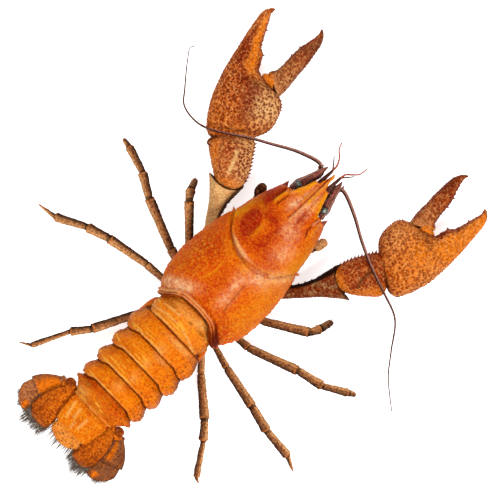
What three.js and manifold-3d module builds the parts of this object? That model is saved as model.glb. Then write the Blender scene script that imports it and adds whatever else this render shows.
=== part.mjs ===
// A boiled freshwater crayfish lying on its belly: tail straight with its fan spread, claws reaching
// forward and open, eight walking legs splayed to the surface, both long feelers swept out and down.
// Millimetres. +Y runs towards the head, +X to the animal's right, +Z up.
// Body coordinates start on the midline at the rear of the carapace, on the surface it lies on; the
// last lines move the finished group so that its origin is the middle of its footprint.
// What is named left and right is drawn on the right and mirrored for the left.
import * as THREE from "three";
import { mergeVertices } from "three/addons/utils/BufferGeometryUtils.js";
import Module from "manifold-3d";

const wasm = await Module();
wasm.setup();

// ---- driving dimensions ----

const GAP = 0.4; // clearance between neighbouring shell plates
const RIM = 1.0; // thickness of the carapace's overhanging rear rim

// Carapace: one shield from the tail joint to the tip of the rostrum.
const CARAPACE = {
  widest: 11.0, floor: 7.0, front: 46.0, frontSweep: 0.8, grooveDepth: 0.7, power: 2.25, pocketEnd: 2.6,
};
// Half-width and crest height at stations along the body.
const CARAPACE_HALF_WIDTH = profile([[-3.5, 11.3], [-2, 12.3], [0, 13.4], [2, 14.5], [5, 15.5],
  [11, 16.2], [15, 16.05], [20, 15.55], [25, 14.85], [29, 13.9], [32, 12.85], [35, 12.4], [40, 11.15],
  [45.3, 9.2]]);
const CARAPACE_CREST = profile([[-3.5, 21.4], [2, 22.4], [12, 25.0], [22, 24.6], [34, 22.4], [46, 17.8]]);
// Its rear edge and its neck groove, from the midline (0) to the flank (1).
const REAR_EDGE = profile([[0, 1.5], [0.3, 1.1], [0.47, 0.2], [0.56, -0.5], [0.7, -1.8], [0.84, -2.8],
  [1, -3.5]]);
const NECK_GROOVE = profile([[0, 21.3], [0.29, 22.1], [0.42, 23], [0.58, 24.2], [0.74, 26.5],
  [0.95, 29.6], [1, 30.4]]);

const ROSTRUM = { base: 46.3, tip: 58.6, thickness: 1.1 };
const ROSTRUM_HALF_WIDTH = profile([[46.3, 4.9], [50, 3.65], [52.8, 2.75], [53.6, 1.4], [55, 0.95],
  [58.6, 0.12]]);
const ROSTRUM_HEIGHT = profile([[46, 16.5], [54, 15.9], [58.6, 16.9]]);

// Breast: the plate that the limbs come out of and the body rests on.
const BREAST = {
  rear: -4.6, front: 42.0, height: CARAPACE.floor - GAP, swelling: 0.35, rise: 1.6,
  flat: 1.2, // how much of the round underside is cut away
};
const BREAST_HALF_WIDTH = profile([[-4.6, 3.6], [-1, 6.4], [8, 7.3], [22, 7.3], [32, 5.8], [42, 2.4]]);
const HIPS = { x: 8.1, first: 15.3, pitch: 4.9, z: 2.8 }; // claw hip first, then the legs' hips behind it

// Tail: six plates, front to rear.
const TAIL = {
  start: 1.0,
  lengths: [9.4, 7.2, 6.8, 6.4, 6.0, 7.8],
  halfWidths: [10.5, 12.9, 12.7, 12.3, 11.9, 11.4],
  crests: [18.9, 18.3, 17.4, 16.3, 14.8, 12.8],
  widests: [11.0, 6.0, 5.8, 5.6, 5.4, 5.4], // heights of their widest lines
  floors: [8.6, 3.2, 3.0, 2.9, 2.8, 2.8],
  lobes: [0.3, 1, 1, 1, 1, 0], // share of the full side lobe at their rear edge
  tuck: 1.0, // how much lower the hidden front of a plate lies
  gap: 0.55,
  ear: { at: [10.4, -10.2, 6.2], radii: [1.6, 5.6, 3.2] }, // second plate's forward lobe, beside the first
};
const TAIL_DRIFT = profile([[-43, 0], [-34, 0.55], [-20, 0.8], [-8, 0.1], [2, 0]]); // midline's sideways bend
const SIDE_LOBE = profile([[0, 0], [0.6, 0.15], [0.85, 1.25], [1, 1.5]]); // reach behind the top edge

// Fan: the middle blade, and two side blades on a knuckle. Each line runs from a root to an end.
const TELSON = { line: [[0, -43.0, 7.0], [0, -56.7, 3.1]] };
const FAN_KNUCKLE = { at: [10.3, -41.5, 4.4], radius: 1.6 };
const FAN_BLADES = {
  left: {
    inner: [[9.0, -43.3, 4.4], [9.6, -57.4, 2.0]],
    outer: [[12.0, -42.9, 2.3], [16.0, -57.5, 0.5]],
    spread: 1,
  },
  right: {
    inner: [[8.9, -43.3, 4.4], [8.4, -57.2, 2.0]],
    outer: [[11.7, -42.9, 2.3], [14.9, -57.4, 0.5]],
    spread: 0.87,
  },
};

// Claw arms: joints of the arm; how far the wrist's far end slants, stops short of the palm and reaches
// inwards; then the moving finger's pivot, opening in degrees and length.
const CLAW_ARMS = {
  left: {
    bend: [12.6, 18.0, 5.0], elbow: [22.3, 34.2, 7.6], hand: [30.1, 43.6, 7.2], tip: [48.7, 81.0, 4.2],
    wristSlant: 0.06, wristShort: 0.6, wristReach: 1.06,
    finger: { across: -8.15, along: 20.3, open: 25.5, length: 21.6 },
  },
  right: {
    bend: [12.2, 20.0, 5.0], elbow: [25.8, 38.2, 7.6], hand: [32.4, 48.3, 7.2], tip: [39.3, 84.5, 4.2],
    wristSlant: 0.24, wristShort: 2.1, wristReach: 1,
    finger: { across: -6.9, along: 18.3, open: 18.8, length: 20.2 },
  },
};

// Walking legs, front to rear: radius of each piece from the hip, and where each piece ends.
const LEGS = {
  left: [
    {
      radii: [1.2, 1.35, 1.3, 1.05],
      ends: [[15.0, 12.6, 4.6], [24.9, 22.3, 9.0], [26.9, 24.8, 6.6], [28.2, 28.0, 2.2]],
    },
    {
      radii: [1.3, 1.4, 1.15, 0.85, 0.5],
      ends: [[18.5, 8.2, 4.9], [33.8, 14.2, 9.6], [40.7, 18.1, 7.6], [49.2, 20.5, 2.6], [52.3, 20.9, 0.8]],
    },
    {
      radii: [1.1, 1.35, 1.4, 1.2, 0.5],
      ends: [[20.3, -0.4, 4.8], [33.6, -3.0, 9.2], [40.5, -5.3, 7.6], [49.6, -10.3, 2.2], [56.2, -11.3, 0.4]],
    },
    {
      radii: [1.0, 1.35, 1.25, 0.7, 0.35],
      ends: [[11.2, -12.6, 1.5], [17.7, -25.9, 6.0], [21.6, -31.1, 5.0], [26.8, -42.5, 1.4],
        [30.3, -44.7, 0.4]],
    },
  ],
  right: [
    {
      radii: [1.2, 1.4, 1.3, 1.3],
      ends: [[16.5, 12.8, 4.7], [28.8, 20.7, 9.0], [30.2, 23.6, 6.6], [31.4, 27.8, 2.2]],
    },
    {
      radii: [1.1, 1.1, 1.4, 1.2, 0.9, 0.5],
      ends: [[13.2, 3.6, 3.6], [19.5, 4.2, 4.9], [34.6, 10.2, 9.6], [43.0, 12.2, 7.6],
        [50.2, 16.3, 2.6], [52.3, 17.5, 0.8]],
    },
    {
      radii: [1.0, 1.0, 1.35, 1.4, 1.2, 0.5],
      ends: [[11.8, -2.8, 3.3], [19.3, -4.8, 4.8], [32.8, -7.2, 9.2], [41.0, -9.2, 7.4],
        [51.0, -10.1, 2.2], [55.8, -12.4, 0.4]],
    },
    {
      radii: [1.0, 1.4, 1.3, 0.75, 0.35],
      ends: [[15.2, -11.8, 2.2], [25.7, -20.3, 7.6], [30.0, -25.1, 6.2], [36.6, -34.5, 1.4],
        [38.5, -35.4, 0.4]],
    },
  ],
};
const LEG_SWELL = profile([[0, 0.72], [0.14, 0.9], [0.9, 1.12], [1, 0.94]]); // along each piece

// Feelers: the long pair, and on each side of the rostrum a short forked one.
const FEELERS = {
  left: [[5.2, 57.9, 12.4], [12, 55.9, 14.2], [20, 51.4, 14.8], [26, 47.9, 14.5], [33, 43.1, 13.4],
    [38, 40.6, 12.2], [42, 40.1, 10.8], [46.5, 41.1, 8.8], [50, 44.7, 6.0], [56, 51.6, 2.2],
    [58, 54.6, 0.9], [57.4, 56.2, 0.4]],
  right: [[5.2, 57.2, 12.4], [12, 54.8, 14.2], [20, 50.6, 14.8], [28, 47.2, 14.3], [35.5, 44.8, 12.8],
    [43.5, 41.8, 9.6], [50, 34.2, 5.6], [55, 28.4, 2.6], [60, 24.4, 0.9], [63.5, 21.8, 0.4]],
};
const FEELER_RADIUS = profile([[0, 0.64], [0.25, 0.5], [0.5, 0.34], [0.8, 0.22], [1, 0.14]]);
const FEELER_ROOT = [[7.1, 46.5, 10.0], [5.4, 50.0, 10.2], [3.6, 53.6, 10.7], [3.6, 57.2, 11.9]];
const FEELER_SCALE = [[6.0, 47.0, 12.3], [3.0, 58.9, 14.0]];
const FORKS = {
  left: {
    stem: [[1.45, 46.9, 12.5], [1.5, 52.5, 12.9], [1.3, 59.2, 13.3]],
    long: [[1.5, 61.1, 13.9], [2.6, 63.1, 14.6], [4.6, 65.0, 14.8], [5.4, 66.9, 14.6]],
    short: [[2.9, 61.1, 13.2], [4.1, 62.5, 12.9]],
  },
  right: {
    stem: [[1.45, 46.9, 12.5], [1.7, 52.5, 12.9], [1.9, 59.4, 13.3]],
    long: [[2.2, 61.0, 13.9], [3.6, 62.4, 14.4], [5.0, 64.0, 14.7], [5.5, 66.9, 14.6]],
    short: [[3.2, 60.9, 13.2], [4.5, 62.6, 12.9]],
  },
};
const EYE = { root: [3.9, 46.9, 14.0], at: [5.7, 48.9, 14.3], radius: 1.3 };
const MOUTH_LIMBS = {
  left: [[6.9, 33.0, 3.6], [10.6, 36.4, 4.5], [12.3, 39.4, 5.6], [12.4, 42.1, 5.4]],
  right: [[6.9, 34.0, 3.6], [10.6, 37.4, 4.5], [12.1, 40.8, 5.6], [12.3, 43.6, 5.4]],
};

const MATERIALS = {
  shell: surface(0xd4690f, 0.42),
  belly: surface(0xc98a4a, 0.6),
  claw: surface(0xa84e1c, 0.5),
  leg: surface(0x7d4a28, 0.55),
  fan: surface(0x8a4a22, 0.55),
  feeler: surface(0x5a3230, 0.5),
  eye: surface(0x14120f, 0.15),
};

function surface(color, roughness) {
  return new THREE.MeshStandardMaterial({ color, roughness, metalness: 0 });
}

// ---- shape tools ----

// A smooth curve through [position, value] pairs that never overshoots them.
function profile(pairs) {
  const slopes = pairs.slice(1).map(([p, v], i) => (v - pairs[i][1]) / (p - pairs[i][0]));
  const tangents = pairs.map((_, i) => {
    const before = slopes[Math.max(i - 1, 0)];
    const after = slopes[Math.min(i, slopes.length - 1)];
    return before * after > 0 ? (2 * before * after) / (before + after) : 0;
  });
  return (at) => {
    const t = Math.min(Math.max(at, pairs[0][0]), pairs.at(-1)[0]);
    const i = Math.max(0, pairs.findIndex(([p]) => p >= t) - 1);
    const span = pairs[i + 1][0] - pairs[i][0];
    const u = (t - pairs[i][0]) / span;
    const rise = u * u * (3 - 2 * u);
    const bow = span * u * (1 - u) * (tangents[i] * (1 - u) - tangents[i + 1] * u);
    return pairs[i][1] * (1 - rise) + pairs[i + 1][1] * rise + bow;
  };
}

// Evenly spaced values from first to last.
function steps(first, last, count) {
  return Array.from({ length: count + 1 }, (_, i) => first + ((last - first) * i) / count);
}

// One closed skin: a ring of points for each row value, joined row to row, with a fan over each end.
// place(row, angle) gives a point; rows run along +Y and the angle turns from +X up to +Z.
function loft(rows, sides, place) {
  const angles = steps(0, 2 * Math.PI, sides).slice(0, -1);
  const rings = rows.map((row) => angles.map((angle) => place(row, angle)));
  const faces = [];
  const at = (i, j) => i * sides + (j % sides);
  for (let i = 0; i + 1 < rows.length; i++)
    for (let j = 0; j < sides; j++) {
      faces.push(at(i, j), at(i + 1, j), at(i + 1, j + 1));
      faces.push(at(i, j), at(i + 1, j + 1), at(i, j + 1));
    }
  const hubs = [rings[0], rings.at(-1)].map((ring) =>
    ring.reduce((sum, p) => sum.add(p), new THREE.Vector3()).divideScalar(sides));
  const hub = rows.length * sides;
  const last = rows.length - 1;
  for (let j = 0; j < sides; j++)
    faces.push(hub, at(0, j), at(0, j + 1), hub + 1, at(last, j + 1), at(last, j));
  return new THREE.BufferGeometry().setFromPoints([...rings.flat(), ...hubs]).setIndex(faces);
}

// A point of a rounded section: its reach to each side, up and down, squarer as power grows.
function section(angle, { half, up, down, power = 2 }) {
  const c = Math.cos(angle);
  const s = Math.sin(angle);
  const x = Math.sign(c) * Math.abs(c) ** (2 / power) * half;
  const z = Math.sign(s) * Math.abs(s) ** (2 / power) * (s > 0 ? up : down);
  return [x, z];
}

// A limb piece along +Y from 0 to length, between an outer and an inner edge line.
function limbPiece({ length, outer, inner, thick, rows, sides, power = 2.4, lean = () => 0 }) {
  return loft(rows, sides, (t, angle) => {
    const [x, z] = section(angle, { half: (outer(t) - inner(t)) / 2, up: thick(t), down: thick(t), power });
    const across = (outer(t) + inner(t)) / 2 + x;
    return new THREE.Vector3(across, t * length + lean(t, across), z);
  });
}

// A round tapering tube along a smooth line through the points.
function whip(points, radius, rows, sides) {
  const line = new THREE.CatmullRomCurve3(points.map((p) => new THREE.Vector3(...p)), false, "centripetal");
  return loft(steps(0, 1, rows), sides, (t, angle) => {
    const [across, up] = sideways(line.getTangentAt(t));
    return line.getPointAt(t)
      .addScaledVector(across, radius(t) * Math.cos(angle))
      .addScaledVector(up, radius(t) * Math.sin(angle));
  });
}

// The level direction to the right of a heading, and the direction that is up from both.
function sideways(along) {
  const across = new THREE.Vector3().crossVectors(along, new THREE.Vector3(0, 0, 1)).normalize();
  return [across, new THREE.Vector3().crossVectors(across, along)];
}

// Turns and moves a shape drawn along +Y from the origin onto the line between two points.
function onLine([from, to]) {
  const start = new THREE.Vector3(...from);
  const along = new THREE.Vector3(...to).sub(start).normalize();
  const [across, up] = sideways(along);
  return new THREE.Matrix4().makeBasis(across, along, up).setPosition(start);
}

// Stands an object on the line between two points.
function stand(object, line) {
  onLine(line).decompose(object.position, object.quaternion, object.scale);
  return object;
}

const lengthOf = ([a, b]) => new THREE.Vector3(...a).distanceTo(new THREE.Vector3(...b));

// The line between two points, shortened by the given amounts at its ends.
function shortened([a, b], atStart, atEnd) {
  const span = lengthOf([a, b]);
  const point = (t) => a.map((value, i) => value + (b[i] - value) * t);
  return [point(atStart / span), point(1 - atEnd / span)];
}

// A cone that leans the given way, a third of it sunk below the point where it stands.
function spine(foot, way, height, radius, sides = 5) {
  const up = new THREE.Vector3(...way).normalize();
  const turn = new THREE.Quaternion().setFromUnitVectors(new THREE.Vector3(0, 1, 0), up);
  const middle = new THREE.Vector3(...foot).addScaledVector(up, height / 6);
  return new THREE.ConeGeometry(radius, height, sides).applyQuaternion(turn).translate(...middle.toArray());
}

// The solid of a closed geometry, its shared points merged.
function solid(geometry) {
  const bare = new THREE.BufferGeometry().setAttribute("position", geometry.getAttribute("position"));
  const merged = mergeVertices(bare.setIndex(geometry.index), 1e-4);
  return new wasm.Manifold(new wasm.Mesh({
    numProp: 3,
    vertProperties: new Float32Array(merged.getAttribute("position").array),
    triVerts: new Uint32Array(merged.index.array),
  }));
}

// One geometry from several that overlap.
function fuse(geometries) {
  const mesh = geometries.map(solid).reduce((sum, next) => sum.add(next)).getMesh();
  return new THREE.BufferGeometry()
    .setAttribute("position", new THREE.BufferAttribute(mesh.vertProperties, 3))
    .setIndex(new THREE.BufferAttribute(mesh.triVerts, 1));
}

function node(name, geometry, material) {
  const mesh = new THREE.Mesh(geometry, material);
  mesh.name = name;
  return mesh;
}

// ---- carapace and breast ----

// Row values: 0 the rear edge, 1 the neck groove, 2 the front edge, 3 the tip of the rostrum; the
// first two rows line a pocket behind the rear edge, where the tail tucks in.
function carapace() {
  const pocketEnd = -2;
  const rimInside = -1;
  const rows = [pocketEnd, rimInside, 0, 0.06, 0.2, 0.36, 0.52, 0.68, 0.82, 0.93, 0.97, 1, 1.05, 1.12,
    1.3, 1.5, 1.7, 1.87, 2, 2.02, 2.25, 2.53, 2.6, 2.75, 3];
  const body = loft(rows, 26, (row, angle) => {
    if (row < 0) {
      const inside = carapacePoint(0, angle, RIM);
      return row === pocketEnd ? inside.setY(CARAPACE.pocketEnd) : inside;
    }
    return row > 2 ? rostrumPoint(row - 2, angle) : carapacePoint(row, angle, 0);
  });
  const spines = [-1, 1].flatMap((side) => [
    spine([side * 13.4, 29.9, 12.0], [side, 0.7, 0.1], 1.8, 0.8), // behind the neck groove
    spine([side * 6.2, 44.2, 16.9], [side * 0.15, 1, 0.25], 3.2, 0.8), // ridge behind the eye
    spine([side * 2.5, 52.8, 16.0], [side * 0.25, 1, 0.1], 1.8, 0.5), // rostrum shoulder
  ]);
  return fuse([body, ...spines]);
}

function carapacePoint(row, angle, inset) {
  const aside = Math.abs(Math.cos(angle));
  const neck = NECK_GROOVE(aside);
  const y = row < 1
    ? THREE.MathUtils.lerp(REAR_EDGE(aside), neck, row)
    : THREE.MathUtils.lerp(neck, CARAPACE.front - CARAPACE.frontSweep * aside ** 2, row - 1);
  const groove = Math.sin(angle) > -0.2 ? CARAPACE.grooveDepth * Math.exp(-(((row - 1) / 0.035) ** 2)) : 0;
  const sunk = inset + groove;
  const [x, z] = section(angle, {
    half: CARAPACE_HALF_WIDTH(y) - sunk,
    up: CARAPACE_CREST(y) - CARAPACE.widest - sunk,
    down: CARAPACE.widest - CARAPACE.floor - inset,
    power: CARAPACE.power,
  });
  return new THREE.Vector3(x, y, CARAPACE.widest + z);
}

// The beak: a flat tapering blade with a keel between two furrows, shoulders and a narrow point.
function rostrumPoint(t, angle) {
  const y = THREE.MathUtils.lerp(ROSTRUM.base, ROSTRUM.tip, t);
  const depth = ROSTRUM.thickness * (1 - 0.72 * t);
  const [x, z] = section(angle, { half: ROSTRUM_HALF_WIDTH(y), up: depth, down: 1.2 * depth, power: 3 });
  const furrow = 0.45 * depth * Math.max(0, Math.sin(angle)) ** 2 * (1 - Math.exp(-((x / 0.7) ** 2)));
  return new THREE.Vector3(x, y, ROSTRUM_HEIGHT(y) + z - furrow);
}

// Flat underneath, with a swelling at each pair of hips and a rise towards the mouth.
function breast() {
  const middle = BREAST.height / 2;
  return loft(steps(BREAST.rear, BREAST.front, 18), 12, (y, angle) => {
    const swelling = BREAST.swelling * Math.cos((2 * Math.PI * (y - HIPS.first)) / HIPS.pitch);
    const lift = BREAST.rise * Math.max(0, (y - 30) / (BREAST.front - 30)) ** 2;
    const half = BREAST_HALF_WIDTH(y) + swelling;
    const [x, z] = section(angle, { half, up: middle, down: middle + BREAST.flat, power: 3.2 });
    return new THREE.Vector3(x, y, Math.max(lift, middle + z));
  });
}

// ---- tail and fan ----

// One tail plate: a low front behind the rim of the plate ahead, a domed middle, side lobes.
function tailPlate(index) {
  const front = TAIL.start - TAIL.lengths.slice(0, index).reduce((sum, l) => sum + l, 0) - TAIL.gap;
  const length = TAIL.lengths[index] - TAIL.gap;
  const last = index === TAIL.lengths.length - 1;
  const half = TAIL.halfWidths[index];
  const crest = TAIL.crests[index];
  const widest = TAIL.widests[index];
  const width = last
    ? profile([[0, half - 1.2], [0.22, half], [0.38, half - 1.4], [0.5, 9.4], [0.65, 8.6], [0.8, 8.0],
      [1, 7.5]])
    : profile([[0, half - 2.2], [0.18, half - 1.7], [0.35, half - 0.5], [0.65, half], [1, half - 1.3]]);
  const slope = last ? 3.2 : 0.8;
  const height = profile([[0, crest - TAIL.tuck - 0.1], [0.14, crest - TAIL.tuck], [0.24, crest - 0.1],
    [0.5, crest], [1, crest - slope]]);
  const frontLobe = TAIL.lobes[Math.max(0, index - 1)];
  const down = widest - TAIL.floors[index];
  const plate = loft([0, 0.18, 0.35, 0.5, 0.62, 0.8, 0.88, 1], 22, (row, angle) => {
    const t = 1 - row;
    const aside = Math.abs(Math.cos(angle));
    const y = front - t * length - SIDE_LOBE(aside) * THREE.MathUtils.lerp(frontLobe, TAIL.lobes[index], t);
    const [x, z] = section(angle, { half: width(t), up: height(t) - widest, down, power: 2.1 });
    return new THREE.Vector3(TAIL_DRIFT(y) + x, y, widest + z);
  });
  return index === 1 ? fuse([plate, ear(-1), ear(1)]) : plate;
}

function ear(side) {
  const [x, y, z] = TAIL.ear.at;
  return new THREE.SphereGeometry(1, 10, 6).scale(...TAIL.ear.radii).translate(side * x, y, z);
}

// A flat blade of the fan between two edge lines, thin towards its end.
function blade(line, outer, inner, rows) {
  const thick = profile([[0, 1.0], [0.3, 0.62], [1, 0.36]]);
  return limbPiece({ length: lengthOf(line), rows, sides: 12, power: 2, outer, inner, thick });
}

function telson() {
  const edge = profile([[0, 6.9], [0.15, 7.1], [0.25, 6.9], [0.5, 6.4], [0.65, 6.0], [0.7, 5.6],
    [0.84, 5.2], [0.95, 3.4], [1, 0.9]]);
  const rows = [0, 0.15, 0.35, 0.55, 0.65, 0.7, 0.84, 0.93, 0.98, 1];
  const mesh = node("telson", blade(TELSON.line, edge, (t) => -edge(t), rows), MATERIALS.shell);
  return stand(mesh, TELSON.line);
}

const INNER_BLADE = {
  outer: profile([[0, 1.0], [0.15, 2.8], [0.45, 4.4], [0.75, 4.7], [0.92, 3.0], [1, 1.0]]),
  inner: profile([[0, -1.0], [0.15, -2.0], [0.5, -3.4], [0.8, -4.1], [0.94, -3.6], [1, -1.6]]),
};
const OUTER_BLADE = {
  outer: profile([[0, 1.2], [0.12, 3.2], [0.34, 5.6], [0.5, 6.5], [0.54, 6.1], [0.72, 5.6], [0.9, 3.5],
    [1, 0.9]]),
  inner: profile([[0, -1.0], [0.25, -2.2], [0.5, -3.4], [0.8, -3.8], [0.95, -2.6], [1, -0.9]]),
};

// Both side blades of one half of the fan, and the knuckle that carries them.
function sideFan(name, side) {
  const half = new THREE.Group();
  half.scale.x = side;
  const knuckle = new THREE.SphereGeometry(FAN_KNUCKLE.radius, 10, 7).scale(1.1, 0.9, 0.8);
  const base = node(`fan_knuckle_${name}`, knuckle, MATERIALS.claw);
  base.position.set(...FAN_KNUCKLE.at);
  const { inner, outer, spread } = FAN_BLADES[name];
  const innerEdges = [INNER_BLADE.outer, INNER_BLADE.inner].map((edge) => (t) => spread * edge(t));
  const innerBlade = blade(inner, ...innerEdges, steps(0, 1, 9));
  const rows = [0, 0.1, 0.22, 0.36, 0.5, 0.54, 0.66, 0.8, 0.9, 0.97, 1];
  const outerBlade = blade(outer, OUTER_BLADE.outer, OUTER_BLADE.inner, rows);
  half.add(
    base,
    stand(node(`fan_inner_${name}`, innerBlade, MATERIALS.fan), inner),
    stand(node(`fan_outer_${name}`, outerBlade, MATERIALS.fan), outer),
  );
  return half;
}

// ---- claw arms ----

// Upper arm: a short hip piece under the carapace, then a limb that flares to a cup at the elbow.
function upperArm(bend, elbow) {
  const line = shortened([bend, elbow], 0, 0.2);
  const length = lengthOf(line);
  const limb = limbPiece({
    length, rows: [0, 0.2, 0.4, 0.6, 0.76, 0.9, 1], sides: 12,
    outer: profile([[0, 1.5], [0.35, 2.2], [0.65, 2.7], [0.92, 4.1], [1, 4.9]]),
    inner: profile([[0, -1.5], [0.4, -1.9], [0.6, -2.7], [0.8, -4.4], [1, -6.4]]),
    thick: profile([[0, 1.5], [0.4, 2.2], [0.8, 3.4], [1, 3.6]]),
    lean: (t, x) => t ** 6 * ((x < -2.6 ? 0.15 : 0.06) * (x + 2.6) ** 2 - 2.2),
  });
  const thorns = [0.5, 0.68, 0.86].map((t) =>
    spine([-0.3 - 4.5 * t, t * length, 0.4], [-1, 0.35, 0.1], 1.6, 0.6));
  const hip = [HIPS.x, HIPS.first, HIPS.z];
  const into = shortened([bend, elbow], 1.0, 0)[0];
  const hipPiece = whip([hip, bend, into], profile([[0, 1.0], [0.3, 1.5], [1, 1.4]]), 4, 8);
  return fuse([fuse([limb, ...thorns]).applyMatrix4(onLine(line)), hipPiece]);
}

// Wrist: a bulging wedge, broad at its far end, thorny on its inner side.
function wrist(line, slant, reach) {
  const length = lengthOf(line);
  const edge = profile([[0, -3.8], [0.17, -5.8], [0.44, -7.1], [0.66, -7.4], [0.86, -7.6], [1, -5.6]]);
  const inner = (t) => reach * edge(t);
  const body = limbPiece({
    length, inner, rows: [0, 0.1, 0.28, 0.5, 0.72, 0.9, 1], sides: 14,
    outer: profile([[0, 1.2], [0.2, 3.0], [0.5, 4.4], [0.8, 5.4], [0.92, 4.9], [1, 3.2]]),
    thick: profile([[0, 2.2], [0.15, 3.6], [0.5, 4.7], [0.85, 4.6], [1, 3.0]]),
    lean: (t, x) => 0.3 * x * (1 - t) ** 3 - slant * x * t ** 3,
  });
  const thorns = [0.28, 0.48, 0.68, 0.88].map((t) =>
    spine([inner(t) + 0.3, t * length, 0.5], [-1, 0.4, 0.1], 1.5, 0.6));
  return fuse([body, ...thorns]);
}

// Edge lines of the palm and its fixed finger, across a length of 1: the outer side is positive.
const PALM_OUTER = profile([[0, 5.3], [0.05, 7.2], [0.15, 8.4], [0.28, 8.75], [0.41, 8.25], [0.53, 7.4],
  [0.65, 6.35], [0.8, 4.9], [0.92, 3.5], [0.975, 2.2], [1, 0.4]]);
const PALM_INNER = profile([[0, -5.2], [0.05, -8.0], [0.1, -10.0], [0.17, -11.2], [0.25, -11.8],
  [0.32, -12.0], [0.37, -11.4], [0.41, -9.6], [0.44, -7.0], [0.5, -3.2], [0.54, -1.7], [0.65, -1.4],
  [0.7, -0.2], [0.82, 0.1], [0.95, 0.35], [1, -0.1]]);
const PALM_THICK = profile([[0, 3.2], [0.1, 4.9], [0.26, 6.1], [0.42, 5.2], [0.55, 3.9], [0.8, 2.4],
  [0.95, 1.3], [1, 0.4]]);

function palm(length) {
  const body = limbPiece({
    length, outer: PALM_OUTER, inner: PALM_INNER, thick: PALM_THICK, sides: 16,
    rows: [0, 0.04, 0.09, 0.16, 0.24, 0.32, 0.37, 0.41, 0.45, 0.5, 0.55, 0.66, 0.78, 0.88, 0.95, 0.985, 1],
    lean: (t, x) => -0.27 * x * Math.max(0, 1 - t / 0.3) ** 2,
  });
  const knobs = steps(0.13, 0.34, 4).map((t) =>
    spine([PALM_INNER(t) + 0.35, t * length, 0.5], [-1, 0.15, 0.2], 1.3, 0.7));
  const teeth = [0.65, 0.83].map((t) => spine([PALM_INNER(t) + 0.3, t * length, 0], [-1, 0.1, 0], 1.6, 0.7));
  const hook = spine([0.2, length - 0.8, 0], [-0.75, 1, 0], 2.2, 0.55);
  return fuse([body, ...knobs, ...teeth, hook]);
}

// The moving finger: its outer back faces the body, its toothed edge faces the fixed finger.
function finger(length) {
  const bite = profile([[0, 4.0], [0.05, 3.6], [0.12, 2.8], [0.26, 2.6], [0.44, 2.8], [0.58, 2.7],
    [0.76, 1.95], [0.92, 1.7], [1, 2.3]]);
  const back = profile([[0, -3.4], [0.12, -3.25], [0.31, -2.7], [0.49, -2.35], [0.72, -1.7],
    [0.85, -1.05], [0.95, 0.2], [1, 1.5]]);
  const body = limbPiece({
    length, rows: [0, 0.05, 0.14, 0.3, 0.48, 0.66, 0.8, 0.9, 0.96, 1], sides: 10, outer: bite, inner: back,
    thick: profile([[0, 2.4], [0.12, 3.2], [0.5, 2.6], [0.9, 1.3], [1, 0.4]]),
  });
  const teeth = [0.44, 0.6].map((t) => spine([bite(t) - 0.3, t * length, 0], [1, 0.1, 0], 1.5, 0.7));
  return fuse([body, ...teeth]);
}

function clawArm(name, side) {
  const { bend, elbow, hand, tip, wristSlant, wristShort, wristReach, finger: moving } = CLAW_ARMS[name];
  const arm = new THREE.Group();
  arm.scale.x = side;
  const thumb = node(`claw_finger_${name}`, finger(moving.length), MATERIALS.claw);
  thumb.position.set(moving.across, moving.along, 0);
  thumb.rotation.z = THREE.MathUtils.degToRad(moving.open);
  const claw = stand(new THREE.Group(), [hand, tip]);
  claw.add(node(`claw_palm_${name}`, palm(lengthOf([hand, tip])), MATERIALS.claw), thumb);
  const wristLine = shortened([elbow, hand], 0.8, wristShort);
  arm.add(
    node(`claw_arm_${name}`, upperArm(bend, elbow), MATERIALS.claw),
    stand(node(`claw_wrist_${name}`, wrist(wristLine, wristSlant, wristReach), MATERIALS.claw), wristLine),
    claw,
  );
  return arm;
}

// ---- walking legs, feelers, eyes, mouth limbs ----

// A leg is one chain of tapered pieces, each flared where it holds the next.
function leg(joints, radii) {
  const bend = 0.42; // each piece stops this short of a joint, so that the chain can turn there
  const rows = joints.slice(1).flatMap((_, k) => [0, 0.14, 0.9, 0.999].map((t) => k + t));
  return loft(rows, 7, (row, angle) => {
    const k = Math.floor(row);
    const t = (row - k) / 0.999;
    const last = k === joints.length - 2;
    const size = radii[k] * (last ? 1 - 0.75 * t : LEG_SWELL(t));
    const line = shortened([joints[k], joints[k + 1]], k ? bend : 0, last ? 0 : bend);
    return new THREE.Vector3(size * Math.cos(angle), t * lengthOf(line), 0.92 * size * Math.sin(angle))
      .applyMatrix4(onLine(line));
  });
}

function shortFeeler(name) {
  const { stem, long, short } = FORKS[name];
  const top = stem.at(-1);
  return fuse([
    whip(stem, profile([[0, 0.75], [0.5, 0.8], [0.85, 0.55], [1, 0.42]]), 5, 7),
    whip([top, ...long], profile([[0, 0.3], [1, 0.12]]), 10, 4),
    whip([top, ...short], profile([[0, 0.28], [1, 0.12]]), 5, 4),
  ]);
}

// Root of a long feeler: three stout rings under the scale, and a thorn outside.
function feelerRoot() {
  const rings = profile([[0, 1.2], [0.12, 1.5], [0.3, 1.4], [0.38, 1.2], [0.6, 1.2], [0.68, 1.0],
    [0.9, 1.25], [1, 0.9]]);
  return fuse([whip(FEELER_ROOT, rings, 12, 8), spine([8.0, 46.9, 10.4], [0.2, 1, 0.2], 2.8, 0.8)]);
}

// The scale beside the rostrum: a long thin leaf.
function feelerScale() {
  const edge = profile([[0, 1.0], [0.2, 1.6], [0.5, 1.15], [0.85, 0.75], [1, 0.15]]);
  const thick = profile([[0, 0.5], [0.5, 0.42], [1, 0.2]]);
  const length = lengthOf(FEELER_SCALE);
  const inner = (t) => -edge(t);
  return limbPiece({ length, rows: steps(0, 1, 6), sides: 8, power: 2, outer: edge, inner, thick });
}

function eye() {
  const ball = new THREE.SphereGeometry(EYE.radius, 10, 8).translate(...EYE.at);
  return fuse([whip([EYE.root, EYE.at], () => 0.9, 2, 8), ball]);
}

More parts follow.
